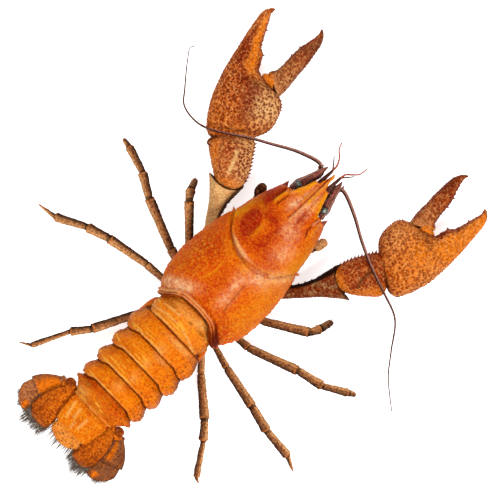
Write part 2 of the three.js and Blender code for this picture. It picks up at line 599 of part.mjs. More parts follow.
function mouthLimb(line) {
  const girth = profile([[0, 1.0], [0.2, 1.2], [0.55, 1.15], [0.62, 0.9], [0.7, 1.4], [0.9, 1.3], [1, 0.6]]);
  return whip(line, girth, 10, 7);
}

function sidePieces(name, side) {
  const half = new THREE.Group();
  half.scale.x = side;
  half.add(
    node(`feeler_${name}`, whip(FEELERS[name], FEELER_RADIUS, 40, 5), MATERIALS.feeler),
    node(`short_feeler_${name}`, shortFeeler(name), MATERIALS.feeler),
    node(`feeler_root_${name}`, feelerRoot(), MATERIALS.leg),
    stand(node(`feeler_scale_${name}`, feelerScale(), MATERIALS.feeler), FEELER_SCALE),
    node(`eye_${name}`, eye(), MATERIALS.eye),
    node(`mouth_limb_${name}`, mouthLimb(MOUTH_LIMBS[name]), MATERIALS.leg),
  );
  LEGS[name].forEach(({ radii, ends }, i) => {
    const hip = [HIPS.x, HIPS.first - HIPS.pitch * (i + 1), i < 3 ? HIPS.z : HIPS.z - 0.8];
    half.add(node(`leg_${i + 1}_${name}`, leg([hip, ...ends], radii), MATERIALS.leg));
  });
  return half;
}

// ---- the whole animal ----

const crayfish = new THREE.Group();
crayfish.add(node("carapace", carapace(), MATERIALS.shell), node("breast", breast(), MATERIALS.belly));
TAIL.lengths.forEach((_, i) => crayfish.add(node(`tail_plate_${i + 1}`, tailPlate(i), MATERIALS.shell)));
crayfish.add(telson());
for (const [name, side] of [["left", -1], ["right", 1]])
  crayfish.add(sideFan(name, side), clawArm(name, side), sidePieces(name, side));

const footprint = new THREE.Box3().setFromObject(crayfish, true);
const middle = footprint.getCenter(new THREE.Vector3());
crayfish.position.set(-middle.x, -middle.y, -footprint.min.z);

export default crayfish;
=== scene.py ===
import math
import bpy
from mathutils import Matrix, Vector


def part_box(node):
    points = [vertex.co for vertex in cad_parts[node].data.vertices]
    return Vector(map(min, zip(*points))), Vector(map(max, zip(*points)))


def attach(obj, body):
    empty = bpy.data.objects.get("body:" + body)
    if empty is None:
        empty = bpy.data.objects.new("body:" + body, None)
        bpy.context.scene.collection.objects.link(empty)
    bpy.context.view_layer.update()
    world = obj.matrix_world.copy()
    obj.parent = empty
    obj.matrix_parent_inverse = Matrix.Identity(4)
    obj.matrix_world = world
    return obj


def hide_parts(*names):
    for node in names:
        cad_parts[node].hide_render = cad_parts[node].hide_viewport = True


bl_info = {
    "name": "Cooked Crayfish",
    "version": (1, 0, 0),
    "blender": (4, 5, 0),
    "location": "View3D > Sidebar > Crayfish",
    "description": "Builds a boiled freshwater crayfish, shell by shell, and the stage it lies on",
    "category": "Add Mesh",
}

import bpy
import numpy as np
from bpy.props import FloatProperty, FloatVectorProperty, PointerProperty
from bpy.types import Operator, Panel, PropertyGroup

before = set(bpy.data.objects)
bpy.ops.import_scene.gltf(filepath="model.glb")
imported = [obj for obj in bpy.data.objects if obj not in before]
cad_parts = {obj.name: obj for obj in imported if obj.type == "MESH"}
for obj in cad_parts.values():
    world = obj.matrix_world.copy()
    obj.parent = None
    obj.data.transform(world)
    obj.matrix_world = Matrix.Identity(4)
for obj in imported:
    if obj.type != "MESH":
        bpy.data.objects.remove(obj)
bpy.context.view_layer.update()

MM = 0.001  # shapes are worked out in millimetres, in the animal's own coordinates, and placed in metres
SIDES = {"left": -1, "right": 1}
UP = np.array([0.0, 0.0, 1.0])
STUDIO_LIGHT = 1.6  # how bright the studio makes a white level surface


def tone(red, green, blue):
    """The linear colour of a finish that looks as given, in 0 to 255 a channel, under the studio's light."""
    share = np.array([red, green, blue]) / 255
    linear = np.where(share <= 0.04045, share / 12.92, ((share + 0.055) / 1.055) ** 2.4)
    return tuple(float(v) for v in linear / STUDIO_LIGHT)


# ---- curves and noise ----


def profile(pairs):
    """A smooth curve through [position, value] pairs that never overshoots them: a cubic between each two,
    whose slope at a pair is the harmonic mean of the slopes on both sides, or 0 where their signs differ."""
    at, value = np.array(pairs, float).T
    slope = np.diff(value) / np.diff(at)
    before = np.concatenate([slope[:1], slope])
    after = np.concatenate([slope, slope[-1:]])
    product = before * after
    tangent = np.where(product > 0, 2 * product / np.where(product > 0, before + after, 1), 0)

    def curve(where):
        place = np.clip(where, at[0], at[-1])
        i = np.clip(np.searchsorted(at, place) - 1, 0, len(at) - 2)
        span = at[i + 1] - at[i]
        u = (place - at[i]) / span
        rise = u * u * (3 - 2 * u)
        bow = span * u * (1 - u) * (tangent[i] * (1 - u) - tangent[i + 1] * u)
        return value[i] * (1 - rise) + value[i + 1] * rise + bow

    return curve


def mix(a, b, share):
    """The value a share of the way from a to b."""
    return a + (b - a) * share


def smooth(low, high, value):
    """0 below low, 1 above high, and a smooth S between."""
    t = np.clip((value - low) / (high - low), 0, 1)
    return t * t * (3 - 2 * t)


def scatter(ix, iy, iz, seed):
    """A repeatable number from 0 to 1 for each whole-number cell: its three places and the seed are
    multiplied, added and bit-mixed."""
    h = (
        ix.astype(np.int64) * 374761393
        + iy.astype(np.int64) * 668265263
        + iz.astype(np.int64) * 1440662683
        + seed * 1013904223
    ) & 0xFFFFFFFF
    h = ((h ^ (h >> 13)) * 1274126177) & 0xFFFFFFFF
    h = ((h ^ (h >> 15)) * 2246822519) & 0xFFFFFFFF
    return (h ^ (h >> 16)) / 2**32


def noise(points, size, seed=0):
    """Smooth random values from -1 to 1: random numbers at the corners of cells of that size, blended
    with an S-curve along each axis. size is one length, or one for each axis."""
    p = points / np.array(size, float)
    cell = np.floor(p)
    f = p - cell
    f = f * f * (3 - 2 * f)
    total = 0
    for corner in np.ndindex(2, 2, 2):
        weight = np.prod(np.where(corner, f, 1 - f), axis=-1)
        total = total + weight * scatter(*np.moveaxis(cell + corner, -1, 0), seed)
    return total * 2 - 1


def rough(points, size, seed=0, layers=3):
    """Noise added to itself at half the size and half the strength, a number of times."""
    return sum(noise(points, np.array(size) / 2**k, seed + k) / 2**k for k in range(layers))


def grains(points, spacing, radius, seed=0, share=1.0):
    """Round bumps from 0 to 1: one centre at a random place in each cell, kept for a share of the cells,
    each a dome 1 - (d / r)^2 of its own radius; the highest one counts."""
    p = points / spacing
    cell = np.floor(p)
    best = np.zeros(points.shape[:-1])
    for step in np.ndindex(3, 3, 3):
        near = cell + np.array(step) - 1
        parts = np.moveaxis(near, -1, 0)
        offset = np.stack([scatter(*parts, seed + k) for k in range(3)], axis=-1)
        draw = scatter(*parts, seed + 3)
        reach = radius / spacing * (0.7 + 0.6 * scatter(*parts, seed + 4))
        away = np.sum((p - near - offset) ** 2, axis=-1)
        best = np.maximum(best, np.where(draw < share, 1 - away / reach**2, 0))
    return best


def band(value, middle, width):
    """A soft band about a middle: exp(-d^2), with d the distance from it over the width."""
    return np.exp(-(((value - middle) / width) ** 2))


def blob(x, y, at, reach, turn=0.0):
    """A soft patch: exp(-d^2), with d the distance over the reach along two axes turned by degrees."""
    c, s = math.cos(math.radians(turn)), math.sin(math.radians(turn))
    u = ((x - at[0]) * c + (y - at[1]) * s) / reach[0]
    v = ((y - at[1]) * c - (x - at[0]) * s) / reach[1]
    return np.exp(-(u**2) - v**2)


def patches(places, x, y):
    """The sum of soft patches, each given as its place, reach, turn and strength."""
    return sum(strength * blob(x, y, at, reach, turn) for at, reach, turn, strength in places)


def stroke(x, y, line, width):
    """A soft line: exp(-(d / width)^2), with d the distance to the nearest stretch of a line of points."""
    near = np.full(np.broadcast(x, y).shape, 1e9)
    for (ax, ay), (bx, by) in zip(line[:-1], line[1:]):
        span = (bx - ax) ** 2 + (by - ay) ** 2
        t = np.clip(((x - ax) * (bx - ax) + (y - ay) * (by - ay)) / span, 0, 1)
        near = np.minimum(near, (x - ax - t * (bx - ax)) ** 2 + (y - ay - t * (by - ay)) ** 2)
    return np.exp(-near / width**2)


# ---- surfaces ----


def section(angle, half, up, down, power=2.0):
    """A rounded section: cos and sin of the angle to the power 2 / p, times the reach to each side, up
    and down, so that it grows squarer with the power."""
    c, s = np.cos(angle), np.sin(angle)
    x = np.sign(c) * np.abs(c) ** (2 / power) * half
    z = np.sign(s) * np.abs(s) ** (2 / power) * np.where(s > 0, up, down)
    return x, z


def ring_angles(sides):
    """The angles round a ring, as one row."""
    return np.linspace(0, 2 * np.pi, sides, endpoint=False)[None, :]


def normals(grid, side=1):
    """Unit normals of a grid of rings: the step along the rows crossed with the step round the ring."""
    along = np.gradient(grid, axis=0)
    around = np.roll(grid, -1, axis=1) - np.roll(grid, 1, axis=1)
    cross = np.cross(along, around) * side
    return cross / np.maximum(np.linalg.norm(cross, axis=2, keepdims=True), 1e-9)


def raised(grid, height, side=1):
    """The grid moved along its normals by a height for each point."""
    return grid + normals(grid, side) * np.asarray(height)[..., None]


def skin(grid, masks=None, side=1):
    """A closed part from a grid of rings: quads join each ring to the next, and a fan of triangles to
    the ring's middle closes each end. masks are values for each point of the grid."""
    rows, sides = grid.shape[:2]
    i, j = np.meshgrid(np.arange(rows - 1), np.arange(sides), indexing="ij")
    k = (j + 1) % sides
    quads = np.stack([i * sides + j, (i + 1) * sides + j, (i + 1) * sides + k, i * sides + k], -1)
    quads = quads.reshape(-1, 4)
    a = np.arange(sides)
    b = (a + 1) % sides
    hub, last = np.full(sides, rows * sides), (rows - 1) * sides
    tris = np.concatenate([np.stack([hub, a, b], -1), np.stack([hub + 1, last + b, last + a], -1)])
    points = np.concatenate([grid.reshape(-1, 3), [grid[0].mean(0)], [grid[-1].mean(0)]])
    flat = {}
    for name, mask in (masks or {}).items():
        mask = np.broadcast_to(mask, grid.shape[:2])
        flat[name] = np.concatenate([mask.reshape(-1), [mask[0].mean()], [mask[-1].mean()]])
    if side < 0:
        quads, tris = quads[:, ::-1], tris[:, ::-1]
    return {"points": points, "quads": quads, "tris": tris, "masks": flat}


def on_line(grid, line):
    """A grid drawn along +Y from the origin, turned and moved onto the line between two points, its own
    +X level and to the right."""
    start, end = np.array(line, float)
    along = (end - start) / np.linalg.norm(end - start)
    across = np.cross(along, UP)
    across /= np.linalg.norm(across)
    up = np.cross(across, along)
    return start + grid[..., :1] * across + grid[..., 1:2] * along + grid[..., 2:] * up


def length_of(line):
    """The distance between a line's two points."""
    return float(np.linalg.norm(np.subtract(line[1], line[0])))


def shortened(line, at_start, at_end):
    """The line between two points, shortened by lengths at its start and its end."""
    a, b = np.array(line, float)
    way = (b - a) / np.linalg.norm(b - a)
    return [a + way * at_start, b - way * at_end]


def rounded_rows(length, count, start, end):
    """Row places from 0 to 1, and how far each row is drawn in: nothing in the middle, and a quarter
    circle of the given radii towards each end."""
    turn = np.linspace(0, np.pi / 2, 6)[:-1]
    first = start / length * (1 - np.cos(turn))
    last = 1 - end / length * (1 - np.cos(turn[::-1]))
    middle = np.linspace(start / length, 1 - end / length, count)
    inset = [start * (1 - np.sin(turn)), np.zeros(count), end * (1 - np.sin(turn[::-1]))]
    return np.concatenate([first, middle, last])[:, None], np.concatenate(inset)[:, None]


def limb_grid(length, outer, inner, thick, count, sides, power=2.4, lean=None, ends=(0.5, 0.4), first=0.0):
    """A limb piece along +Y: at each row a rounded section between an inner and an outer edge line, with
    rounded end edges. Its rows run from the first place to 1. Gives them, the angles and the grid."""
    t, inset = rounded_rows(length, count, *ends)
    t = mix(first, 1, t)
    angle = ring_angles(sides)
    high, low = outer(t), inner(t)
    half = np.maximum((high - low) / 2 - inset, 0.04)
    depth = np.maximum(thick(t) - inset, 0.04)
    x, z = section(angle, half, depth, depth, power)
    across = (high + low) / 2 + x
    y = t * length + (lean(t, across) if lean else 0)
    return t, angle, np.stack(np.broadcast_arrays(across, y, z), axis=2)


def knob(at, radii, rows=26, sides=40):
    """A closed ellipsoid about a point, in rings along +Y."""
    turn = np.linspace(-np.pi / 2 + 0.06, np.pi / 2 - 0.06, rows)[:, None]
    angle = ring_angles(sides)
    way = np.broadcast_arrays(np.cos(turn) * np.cos(angle), np.sin(turn), np.cos(turn) * np.sin(angle))
    return np.array(at, float) + np.stack(way, axis=2) * np.array(radii)


def route(points, count):
    """Evenly spaced points and headings on a smooth line through the given ones: a centripetal
    Catmull-Rom spline, whose ends carry on straight."""
    p = np.array(points, float)
    p = np.concatenate([[2 * p[0] - p[1]], p, [2 * p[-1] - p[-2]]])
    t = np.linspace(0, 1, 60, endpoint=False)[:, None]
    fine = []
    for k in range(len(p) - 3):
        a, b, c, d = p[k : k + 4]
        ab, bc, cd = (np.linalg.norm(v) ** 0.5 for v in (b - a, c - b, d - c))
        out = ((b - a) / ab - (c - a) / (ab + bc) + (c - b) / bc) * bc
        into = ((c - b) / bc - (d - b) / (bc + cd) + (d - c) / cd) * bc
        fine.append(b + out * t + (3 * (c - b) - 2 * out - into) * t**2 + (2 * (b - c) + out + into) * t**3)
    fine = np.concatenate([*fine, p[-2:-1]])
    far = np.concatenate([[0], np.cumsum(np.linalg.norm(np.diff(fine, axis=0), axis=1))])
    even = np.linspace(0, far[-1], count)
    line = np.stack([np.interp(even, far, fine[:, k]) for k in range(3)], axis=1)
    heading = np.gradient(line, axis=0)
    return line, heading / np.linalg.norm(heading, axis=1, keepdims=True), far[-1]


def whip(points, radius, count, sides):
    """A round tapering tube carried along a smooth line. Gives the grid, the row places from 0 to 1, the
    angles and the length."""
    line, heading, length = route(points, count)
    across = np.cross(heading, UP)
    across /= np.linalg.norm(across, axis=1, keepdims=True)
    up = np.cross(across, heading)
    t = np.linspace(0, 1, count)[:, None]
    angle = ring_angles(sides)
    size = np.asarray(radius(t))[..., None]
    grid = line[:, None] + size * (
        across[:, None] * np.cos(angle)[..., None] + up[:, None] * np.sin(angle)[..., None]
    )
    return grid, t, angle, length


def thorn(foot, way, height, radius):
    """A pointed cone with a third of it sunk: its radius falls as 1 - t^1.2."""
    way = np.array(way, float) / np.linalg.norm(way)
    t = np.linspace(0, 1, 9)[:, None]
    helper = UP if abs(way[2]) < 0.9 else np.array([1.0, 0, 0])
    across = np.cross(way, helper)
    across /= np.linalg.norm(across)
    over = np.cross(across, way)
    angle = ring_angles(14)[..., None]
    size = (radius * np.maximum(1 - t**1.2, 0.04))[..., None]
    middle = np.array(foot) + way * (height * (t - 1 / 3))
    return middle[:, None] + size * (across * np.cos(angle) + over * np.sin(angle))


def mirrored(grid, side):
    """The grid for the animal's right side, or its mirror image for the left."""
    return grid * np.array([side, 1, 1])


def hairs(roots, ways, lengths, radius, sag, steps=5):
    """Tapering three-sided hairs, one for each root: a hair follows its way and sinks by sag times the
    square of the share of its length."""
    count = len(roots)
    s = np.linspace(0, 1, steps)[None, :, None]
    fall = UP * (sag * lengths)[:, None, None] * s**2
    line = roots[:, None] + ways[:, None] * lengths[:, None, None] * s - fall
    across = np.cross(ways, UP)
    across /= np.maximum(np.linalg.norm(across, axis=1, keepdims=True), 1e-6)
    over = np.cross(across, ways)
    turn = np.arange(3) * 2 * np.pi / 3
    ring = across[:, None, None] * np.cos(turn)[:, None] + over[:, None, None] * np.sin(turn)[:, None]
    grid = line[:, :, None] + ring * (np.reshape(radius, (-1, 1, 1, 1)) * (1 - 0.75 * s[..., None]))
    base = (np.arange(count) * steps * 3)[:, None, None]
    i, j = np.meshgrid(np.arange(steps - 1), np.arange(3), indexing="ij")
    k = (j + 1) % 3
    quad = np.stack([i * 3 + j, i * 3 + k, (i + 1) * 3 + k, (i + 1) * 3 + j], -1).reshape(1, -1, 4)
    ends = np.array([[[0, 2, 1], [steps * 3 - 3, steps * 3 - 2, steps * 3 - 1]]])
    quads, tris = (base + quad).reshape(-1, 4)[:, ::-1], (base + ends).reshape(-1, 3)[:, ::-1]
    return {"points": grid.reshape(-1, 3), "quads": quads, "tris": tris, "masks": {}}


# ---- from parts to pieces ----

# Besides the shell's own colours, pale carries painted highlights and sheen, and dark and crease carry
# painted shade in grooves, between plates and on the shaded side of the limbs.
MASKS = ("dark", "pale", "dot", "spot", "crease")  # what is painted on a piece, one value for each point


def to_frame():
    """Where the animal's own origin, the middle of the carapace's rear edge, lies in the frame, in metres."""
    low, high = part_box("carapace")
    return np.array([(low.x + high.x) / 2, high.y - ROSTRUM["tip"] * MM, 0.0])


def piece(name, parts, finish, replaced=()):
    """One smooth-shaded mesh object from parts, in the frame and in a finish, riding on the body and
    standing for its CAD nodes."""
    base, points, loops, starts = 0, [], [], []
    values = {mask: [] for mask in MASKS}
    count = 0
    for part in parts:
        for faces in (part["quads"], part["tris"]):
            if len(faces):
                loops.append((faces + base).reshape(-1))
                starts.append(count + np.arange(len(faces)) * faces.shape[1])
                count += faces.size
        points.append(part["points"])
        base += len(part["points"])
        for mask in MASKS:
            values[mask].append(part["masks"].get(mask, np.zeros(len(part["points"]))))
    points = np.concatenate(points) * MM + to_frame()
    mesh = bpy.data.meshes.new(name)
    mesh.vertices.add(len(points))
    mesh.vertices.foreach_set("co", points.reshape(-1).astype(np.float32))
    mesh.loops.add(count)
    mesh.loops.foreach_set("vertex_index", np.concatenate(loops).astype(np.int32))
    mesh.polygons.add(sum(len(s) for s in starts))
    mesh.polygons.foreach_set("loop_start", np.concatenate(starts).astype(np.int32))
    mesh.update(calc_edges=True)
    mesh.shade_smooth()
    for mask in MASKS:
        layer = mesh.attributes.new(mask, "FLOAT", "POINT")
        layer.data.foreach_set("value", np.clip(np.concatenate(values[mask]), 0, 1).astype(np.float32))
    mesh.materials.append(material(finish))
    made = bpy.data.objects.new(name, mesh)
    bpy.context.scene.collection.objects.link(made)
    if replaced:
        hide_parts(*replaced)
    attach(made, "root")


# ---- materials ----


def put(tree, kind, inputs=None, **settings):
    """Adds a shader node; an input given as a socket is linked, and any other value is set."""
    made = tree.nodes.new(kind)
    for name, value in settings.items():
        setattr(made, name, value)
    for name, value in (inputs or {}).items():
        socket = made.inputs[name]
        if isinstance(value, bpy.types.NodeSocket):
            tree.links.new(value, socket)
        elif isinstance(value, tuple) and len(value) == 3 and socket.type == "RGBA":
            socket.default_value = (*value, 1)
        else:
            socket.default_value = value
    return made


def blend(tree, share, a, b):
    """A colour mixed from a to b by a share."""
    return put(tree, "ShaderNodeMix", {0: share, 6: a, 7: b}, data_type="RGBA").outputs[2]


def maths(tree, operation, a, b, clamp=False):
    """The sum, product or other result of two numbers, held from 0 to 1 if clamped."""
    return put(tree, "ShaderNodeMath", {0: a, 1: b}, operation=operation, use_clamp=clamp).outputs[0]


def spread(tree, value, low, high, to_low=0.0, to_high=1.0):
    """The value's range from low to high, stretched to another range and held inside it."""
    inputs = {"Value": value, "From Min": low, "From Max": high, "To Min": to_low, "To Max": to_high}
    return put(tree, "ShaderNodeMapRange", inputs).outputs[0]


def group_tree(name, inputs, outputs):
    """An empty shader node group with its sockets: inputs are (name, kind, default)."""
    tree = bpy.data.node_groups.new(name, "ShaderNodeTree")
    for label, kind, default in inputs:
        socket = tree.interface.new_socket(label, in_out="INPUT", socket_type=kind)
        socket.default_value = (*default, 1) if kind == "NodeSocketColor" else default
    for label, kind in outputs:
        tree.interface.new_socket(label, in_out="OUTPUT", socket_type=kind)
    return tree, tree.nodes.new("NodeGroupInput").outputs, tree.nodes.new("NodeGroupOutput").inputs


# The inputs of the shared look: its colours, and its scales and strengths.
TONES = ("Base", "Dark", "Pale", "Dot", "Spot", "Crease", "Fleck")
LOOKS = ("Mottle Scale", "Mottle", "Grain Scale", "Grain", "Flecks")
GRAIN_GLOSS = 0.16  # how far the grain makes the roughness differ
RELIEF_DEPTH = 0.0011  # how deep the finest relief is drawn, in metres


def boiled_shell_group():
    """The look that every shell plate shares. Broad mottling moves the base colour towards the dark and
    the fleck one. Painted masks lay the dark, pale and spot colours over it, with ragged edges; pale also
    serves for painted highlights and sheen, and dark for painted shade. Fine grain and flecks go on those,
    and the dots and creases on top, the crease colour also giving painted shade. The height is grain and
    flecks."""
    colour, number = "NodeSocketColor", "NodeSocketFloat"
    inputs = [(label, colour, (0.5, 0.2, 0.05)) for label in TONES]
    inputs += [(label, number, 0.0) for label in (*MASKS, *LOOKS)]
    outputs = [("Color", colour), ("Roughness", number), ("Height", number)]
    tree, given, out = group_tree("boiled_shell", inputs, outputs)
    place = put(tree, "ShaderNodeTexCoord").outputs["Object"]
    broad = put(tree, "ShaderNodeTexNoise", {"Vector": place, "Scale": given["Mottle Scale"], "Detail": 5.0})
    middling = maths(tree, "MULTIPLY", given["Mottle Scale"], 3.7)
    second = put(tree, "ShaderNodeTexNoise", {"Vector": place, "Scale": middling, "Detail": 4.0})
    sway = maths(tree, "ADD", broad.outputs[0], second.outputs[0])
    up = maths(tree, "MULTIPLY", spread(tree, sway, 1.0, 1.35), given["Mottle"])
    down = maths(tree, "MULTIPLY", spread(tree, sway, 1.0, 0.65), given["Mottle"])
    base = blend(tree, down, given["Base"], given["Dark"])
    base = blend(tree, up, base, given["Fleck"])
    ragged = spread(tree, second.outputs[0], 0.35, 0.65, 0.7, 1.3)
    for mask, label in (("dark", "Dark"), ("pale", "Pale"), ("spot", "Spot")):
        base = blend(tree, maths(tree, "MULTIPLY", given[mask], ragged, True), base, given[label])
    grain = put(tree, "ShaderNodeTexNoise", {"Vector": place, "Scale": given["Grain Scale"], "Detail": 3.0})
    light = maths(tree, "MULTIPLY", spread(tree, grain.outputs[0], 0.5, 0.64), given["Grain"])
    shade = maths(tree, "MULTIPLY", spread(tree, grain.outputs[0], 0.48, 0.34, 0.0, 0.7), given["Grain"])
    faded = spread(tree, given["dark"], 0.0, 1.0, 1.0, 0.35)
    base = blend(tree, maths(tree, "MULTIPLY", light, faded), base, given["Fleck"])
    base = blend(tree, shade, base, given["Dark"])
    cells = put(tree, "ShaderNodeTexVoronoi", {"Vector": place, "Scale": given["Grain Scale"]})
    rare = spread(tree, second.outputs[0], 0.45, 0.6)
    flecks = maths(tree, "MULTIPLY", spread(tree, cells.outputs["Distance"], 0.36, 0.18), given["Flecks"])
    base = blend(tree, maths(tree, "MULTIPLY", flecks, rare), base, given["Fleck"])
    base = blend(tree, given["dot"], base, given["Dot"])
    base = blend(tree, given["crease"], base, given["Crease"])
    tree.links.new(base, out["Color"])
    rise = maths(tree, "ADD", grain.outputs[0], maths(tree, "MULTIPLY", flecks, 0.6))
    tree.links.new(rise, out["Height"])
    gloss = spread(tree, grain.outputs[0], 0.3, 0.7, 0.0, GRAIN_GLOSS)
    matt = maths(tree, "MULTIPLY", given["crease"], 0.25)
    tree.links.new(maths(tree, "ADD", gloss, matt), out["Roughness"])
    return tree


# The finish of each shell: its tones, or for its base the name of the panel's colour, without those that no
# mask of its pieces asks for; the scales and strengths of the shared look; and its gloss and relief.
SHELLS = {
    "carapace_shell": {
        # Pale is the colour of the painted sheen and highlights, and of the beak's pale bands; Crease also
        # gives painted shade in grooves and under the rear rim.
        "Base": "shell", "Dark": (168, 18, 0), "Pale": (255, 196, 146), "Dot": (246, 156, 44),
        "Spot": (248, 156, 14), "Crease": (104, 26, 0), "Fleck": (246, 136, 12),
        "Mottle Scale": 130.0, "Mottle": 0.4, "Grain Scale": 1600.0, "Grain": 0.6, "Flecks": 0.3,
        "roughness": 0.36, "bump": 0.6,
    },
    "tail_shell": {
        # Pale is the colour of the painted highlights on the plates; Crease gives painted shade between the
        # plates, and the telson's seams.
        "Base": "tail", "Dark": (188, 54, 0), "Pale": (252, 184, 100), "Dot": (252, 172, 52),
        "Spot": (112, 50, 14), "Crease": (84, 22, 0), "Fleck": (252, 148, 16),
        "Mottle Scale": 200.0, "Mottle": 0.5, "Grain Scale": 1500.0, "Grain": 0.65, "Flecks": 0.4,
        "roughness": 0.38, "bump": 0.5,
    },
    "claw_shell": {
        "Base": "claw", "Dark": (142, 34, 0), "Pale": (255, 206, 136), "Dot": (120, 30, 4),
        "Spot": (255, 136, 16), "Crease": (40, 14, 4), "Fleck": (238, 160, 88),
        "Mottle Scale": 180.0, "Mottle": 0.45, "Grain Scale": 1500.0, "Grain": 0.7, "Flecks": 0.6,
        "roughness": 0.42, "bump": 0.6,
    },
    "leg_shell": {
        "Base": "leg", "Dark": (52, 20, 8), "Pale": (244, 176, 112), "Dot": (72, 30, 10),
        "Spot": (234, 128, 42), "Crease": (26, 12, 6), "Fleck": (200, 124, 72),
        "Mottle Scale": 300.0, "Mottle": 0.6, "Grain Scale": 1500.0, "Grain": 0.85, "Flecks": 0.6,
        "roughness": 0.42, "bump": 0.6,
    },
    "fan_shell": {
        "Base": "fan", "Dark": (128, 50, 10), "Pale": (172, 112, 78), "Dot": (112, 48, 20),
        "Spot": (255, 124, 6), "Crease": (72, 28, 8), "Fleck": (236, 132, 30),
        "Mottle Scale": 240.0, "Mottle": 0.5, "Grain Scale": 1500.0, "Grain": 0.8, "Flecks": 0.5,
        "roughness": 0.45, "bump": 0.55,
    },
    "feeler_shell": {
        "Base": "feeler", "Dark": (50, 18, 14), "Pale": (190, 132, 114), "Spot": (190, 78, 52),
        "Crease": (34, 14, 10), "Fleck": (196, 140, 120),
        "Mottle Scale": 300.0, "Mottle": 0.5, "Grain Scale": 2000.0, "Grain": 0.5, "Flecks": 0.3,
        "roughness": 0.42, "bump": 0.4,
    },
    "belly_shell": {
        "Base": (204, 130, 74), "Dark": (170, 96, 50), "Crease": (110, 60, 34), "Fleck": (240, 200, 150),
        "Mottle Scale": 200.0, "Mottle": 0.4, "Grain Scale": 1400.0, "Grain": 0.3, "Flecks": 0.2,
        "roughness": 0.55, "bump": 0.3,
    },
    "eye_shell": {
        # Pale is the colour of a painted highlight on the top of the eye.
        "Base": (60, 64, 52), "Dark": (20, 18, 14), "Pale": (170, 178, 160), "Crease": (52, 26, 16),
        "Fleck": (140, 146, 128),
        "Mottle Scale": 500.0, "Mottle": 0.6, "Grain Scale": 2600.0, "Grain": 0.5, "Flecks": 0.5,
        "roughness": 0.16, "bump": 0.15, "coat": 0.6,
    },
    "hair_coat": {
        "Base": (100, 84, 72), "Dark": (52, 42, 34), "Fleck": (164, 148, 132),
        "Mottle Scale": 700.0, "Mottle": 0.9, "Grain Scale": 3000.0, "Grain": 0.3, "Flecks": 0.1,
        "roughness": 0.6, "bump": 0.1,
    },
}


def shell_material(name):
    """A shell finish: the shared look with this shell's own tones and scales, over a dielectric."""
    finish = SHELLS[name]
    made = bpy.data.materials.new(name)
    made.use_nodes = True
    tree = made.node_tree
    tree.nodes.clear()
    shell = tree.nodes.new("ShaderNodeGroup")
    shell.node_tree = bpy.data.node_groups.get("boiled_shell") or boiled_shell_group()
    for label in TONES:
        if label in finish:
            given = finish[label]
            chosen = isinstance(given, str)
            colour = getattr(bpy.context.scene.crayfish_colours, given) if chosen else tone(*given)
            shell.inputs[label].default_value = (*colour, 1)
    for label in LOOKS:
        shell.inputs[label].default_value = finish[label]
    for mask in MASKS:
        painted = put(tree, "ShaderNodeAttribute", attribute_name=mask).outputs["Fac"]
        tree.links.new(painted, shell.inputs[mask])
    relief_inputs = {"Strength": finish["bump"], "Distance": RELIEF_DEPTH, "Height": shell.outputs["Height"]}
    relief = put(tree, "ShaderNodeBump", relief_inputs)
    lowest = finish["roughness"] - GRAIN_GLOSS / 2
    body = put(
        tree,
        "ShaderNodeBsdfPrincipled",
        {
            "Base Color": shell.outputs["Color"],
            "Roughness": maths(tree, "ADD", shell.outputs["Roughness"], lowest, clamp=True),
            "Normal": relief.outputs[0],
            "Specular IOR Level": 0.03,
            "Coat Weight": finish.get("coat", 0.0),
            "Coat Roughness": 0.25,
        },
    )
    end = tree.nodes.new("ShaderNodeOutputMaterial")
    tree.links.new(body.outputs[0], end.inputs["Surface"])
    return made


def floor_finish(name):
    """A pale matt floor with a barely visible cloudiness, lit a little from below like a light table."""
    made = bpy.data.materials.new(name)
    made.use_nodes = True
    tree = made.node_tree
    tree.nodes.clear()
    place = put(tree, "ShaderNodeTexCoord").outputs["Object"]
    cloud = put(tree, "ShaderNodeTexNoise", {"Vector": place, "Scale": 9.0, "Detail": 2.0}).outputs[0]
    stage = bpy.context.scene.crayfish_stage
    base = blend(tree, cloud, (stage.floor_tone,) * 3, (stage.floor_tone * 0.985,) * 3)
    inputs = {
        "Base Color": base, "Roughness": 0.9, "Specular IOR Level": 0.1,
        "Emission Color": (1.0, 1.0, 1.0), "Emission Strength": stage.floor_glow,
    }
    body = put(tree, "ShaderNodeBsdfPrincipled", inputs)
    end = tree.nodes.new("ShaderNodeOutputMaterial")
    tree.links.new(body.outputs[0], end.inputs["Surface"])
    return made


def material(name):
    """The finish of that name, made when it is first asked for."""
    make = floor_finish if name == "floor_finish" else shell_material
    return bpy.data.materials.get(name) or make(name)


# ---- carapace and breast ----

CARAPACE = {
    "widest": 11.0, "floor": 7.0, "front": 46.0, "front_sweep": 0.8, "groove_depth": 0.7,
    "power": 2.25, "pocket_end": 2.6, "rim": 1.0,
}
CARAPACE_HALF_WIDTH = profile(
    [[-3.5, 11.3], [-2, 12.3], [0, 13.4], [2, 14.5], [5, 15.5], [11, 16.2], [15, 16.05], [20, 15.55],
     [25, 14.85], [29, 13.9], [32, 12.85], [35, 12.4], [40, 11.15], [45.3, 9.2]]
)
CARAPACE_CREST = profile([[-3.5, 21.4], [2, 22.4], [12, 25.0], [22, 24.6], [34, 22.4], [46, 17.8]])
REAR_EDGE = profile([[0, 1.5], [0.3, 1.1], [0.47, 0.2], [0.56, -0.5], [0.7, -1.8], [0.84, -2.8], [1, -3.5]])
NECK_GROOVE = profile(
    [[0, 21.3], [0.29, 22.1], [0.42, 23], [0.58, 24.2], [0.74, 26.5], [0.95, 29.6], [1, 30.4]]
)
ROSTRUM = {"base": 46.3, "tip": 58.6, "thickness": 1.1}
ROSTRUM_HALF_WIDTH = profile(
    [[46.3, 4.9], [50, 3.65], [52.8, 2.75], [53.6, 1.4], [55, 0.95], [58.6, 0.12]]
)
